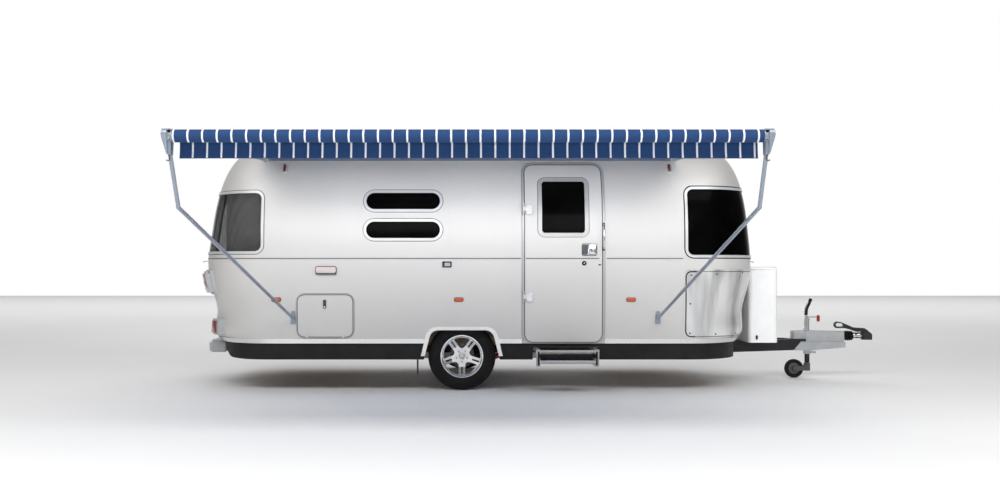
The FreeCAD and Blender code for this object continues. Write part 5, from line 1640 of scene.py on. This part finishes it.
def make_casting_details():
    """Hook and round boss on each end casting of the awning."""
    low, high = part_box("awning_arms")
    for way, x, name in ((1, low.x + CASTING_IN, "rear"), (-1, high.x - CASTING_IN, "front")):
        foot = Vector((x, ROLLER.y, ROLLER.z - HOOK_DROP))
        line = [foot + Vector((way * u, v, w)) for u, v, w in HOOK]
        place(pipe(f"casting_hook_{name}", line, HOOK_R, 4), CHASSIS, "shade")
        hub = lathe(f"casting_hub_{name}", CASTING_HUB,
                    Vector((x, ROLLER.y - 0.018, ROLLER.z)), (0, -1, 0), 32)
        place(hub, CHASSIS, "zinc")


# ---- operators
class CARAVAN_OT_stage(bpy.types.Operator):
    """Set out the floor, the sky, the lamps and the camera"""

    bl_idname = "caravan.stage"
    bl_label = "Stage"

    def execute(self, context):
        make_floor()
        make_sky()
        for row in LAMPS:
            make_lamp(*row)
        make_camera()
        return {"FINISHED"}


class CARAVAN_OT_finishes(bpy.types.Operator):
    """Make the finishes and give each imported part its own"""

    bl_idname = "caravan.finishes"
    bl_label = "Finishes"

    def execute(self, context):
        make_finishes()
        finish_nodes()
        return {"FINISHED"}


class CARAVAN_OT_awning(bpy.types.Operator):
    """Stretch the striped canopy, wind its spare turns and hang the valance"""

    bl_idname = "caravan.awning"
    bl_label = "Awning Cloth"

    def execute(self, context):
        make_canopy()
        make_valance()
        return {"FINISHED"}


class CARAVAN_OT_curtains(bpy.types.Operator):
    """Hang the pleated curtains in the rear corners"""

    bl_idname = "caravan.curtains"
    bl_label = "Curtains"

    def execute(self, context):
        make_curtains()
        return {"FINISHED"}


class CARAVAN_OT_seals(bpy.types.Operator):
    """Lay the seals round the window frames"""

    bl_idname = "caravan.seals"
    bl_label = "Window Seals"

    def execute(self, context):
        make_seals()
        return {"FINISHED"}


class CARAVAN_OT_belt(bpy.types.Operator):
    """Lay the lap strip along the belt"""

    bl_idname = "caravan.belt"
    bl_label = "Belt Strip"

    def execute(self, context):
        make_belt()
        return {"FINISHED"}


class CARAVAN_OT_rivets(bpy.types.Operator):
    """Set the rivets along the joints of the skin"""

    bl_idname = "caravan.rivets"
    bl_label = "Rivets"

    def execute(self, context):
        make_rivets()
        return {"FINISHED"}


class CARAVAN_OT_door_fittings(bpy.types.Operator):
    """Fit the door's latch, lock and catch, and the grab handle"""

    bl_idname = "caravan.door_fittings"
    bl_label = "Door Fittings"

    def execute(self, context):
        make_door_latch()
        make_grab_handle()
        return {"FINISHED"}


class CARAVAN_OT_hatch_latch(bpy.types.Operator):
    """Fit the service hatch's latch"""

    bl_idname = "caravan.hatch_latch"
    bl_label = "Hatch Latch"

    def execute(self, context):
        make_hatch_latch()
        return {"FINISHED"}


class CARAVAN_OT_lamps(bpy.types.Operator):
    """Fit the marker, clearance, awning and tail lamps and the outside socket"""

    bl_idname = "caravan.lamps"
    bl_label = "Lamps and Socket"

    def execute(self, context):
        make_side_lamps()
        make_wall_fittings()
        make_tail_lenses()
        return {"FINISHED"}


class CARAVAN_OT_wheels(bpy.types.Operator):
    """Make the treaded tyres and the road wheels' bright parts"""

    bl_idname = "caravan.wheels"
    bl_label = "Wheels and Tyres"

    def execute(self, context):
        make_tyres()
        make_wheel_trims()
        return {"FINISHED"}


class CARAVAN_OT_gap_seals(bpy.types.Operator):
    """Lay the rubber round the door and the hatch, and the painted shadow lines outside their
    frames
    """

    bl_idname = "caravan.gap_seals"
    bl_label = "Door and Hatch Seals"

    def execute(self, context):
        make_gap_seals()
        return {"FINISHED"}


class CARAVAN_OT_tow_fittings(bpy.types.Operator):
    """Fit the coupling collar, brake grip and jockey wheel's small parts"""

    bl_idname = "caravan.tow_fittings"
    bl_label = "Towing Fittings"

    def execute(self, context):
        make_coupling_collar()
        make_brake_grip()
        make_jockey_fittings()
        return {"FINISHED"}


class CARAVAN_OT_outer_fittings(bpy.types.Operator):
    """Fit the hinge leaves, locker catches, painted shadow lines round the guards, step treads with
    a painted shadow band, pins and roof panel
    """

    bl_idname = "caravan.outer_fittings"
    bl_label = "Outer Fittings"

    def execute(self, context):
        make_hinge_leaves()
        make_locker_fittings()
        make_guard_shadow_lines()
        make_step_treads()
        make_end_pins()
        make_vent_panel()
        return {"FINISHED"}


class CARAVAN_OT_awning_fittings(bpy.types.Operator):
    """Fit the hooks and bosses of the awning's castings"""

    bl_idname = "caravan.awning_fittings"
    bl_label = "Awning Fittings"

    def execute(self, context):
        make_casting_details()
        return {"FINISHED"}


OPERATORS = (
    CARAVAN_OT_stage, CARAVAN_OT_finishes, CARAVAN_OT_awning, CARAVAN_OT_curtains,
    CARAVAN_OT_seals, CARAVAN_OT_belt, CARAVAN_OT_rivets, CARAVAN_OT_door_fittings,
    CARAVAN_OT_hatch_latch, CARAVAN_OT_lamps, CARAVAN_OT_wheels, CARAVAN_OT_gap_seals,
    CARAVAN_OT_tow_fittings, CARAVAN_OT_outer_fittings, CARAVAN_OT_awning_fittings,
)


class CARAVAN_PT_panel(bpy.types.Panel):
    """Buttons for the caravan's pieces, in the order they are made"""

    bl_idname = "CARAVAN_PT_panel"
    bl_label = "Caravan"
    bl_space_type = "VIEW_3D"
    bl_region_type = "UI"
    bl_category = "Caravan"

    def draw(self, context):
        for operator in OPERATORS:
            self.layout.operator(operator.bl_idname)
        for settings in (context.scene.caravan_sizes, context.scene.caravan_colours):
            box = self.layout.box()
            for name in settings.bl_rna.properties.keys():
                if name not in ("rna_type", "name"):
                    box.prop(settings, name)


CLASSES = (CaravanSizes, CaravanColours, *OPERATORS, CARAVAN_PT_panel)


def register():
    for cls in CLASSES:
        bpy.utils.register_class(cls)
    bpy.types.Scene.caravan_sizes = bpy.props.PointerProperty(type=CaravanSizes)
    bpy.types.Scene.caravan_colours = bpy.props.PointerProperty(type=CaravanColours)


def unregister():
    del bpy.types.Scene.caravan_colours
    del bpy.types.Scene.caravan_sizes
    for cls in reversed(CLASSES):
        bpy.utils.unregister_class(cls)


def main():
    """Make every piece."""
    register()
    for operator in OPERATORS:
        group, name = operator.bl_idname.split(".")
        getattr(getattr(bpy.ops, group), name)()


if __name__ == "__main__":
    main()
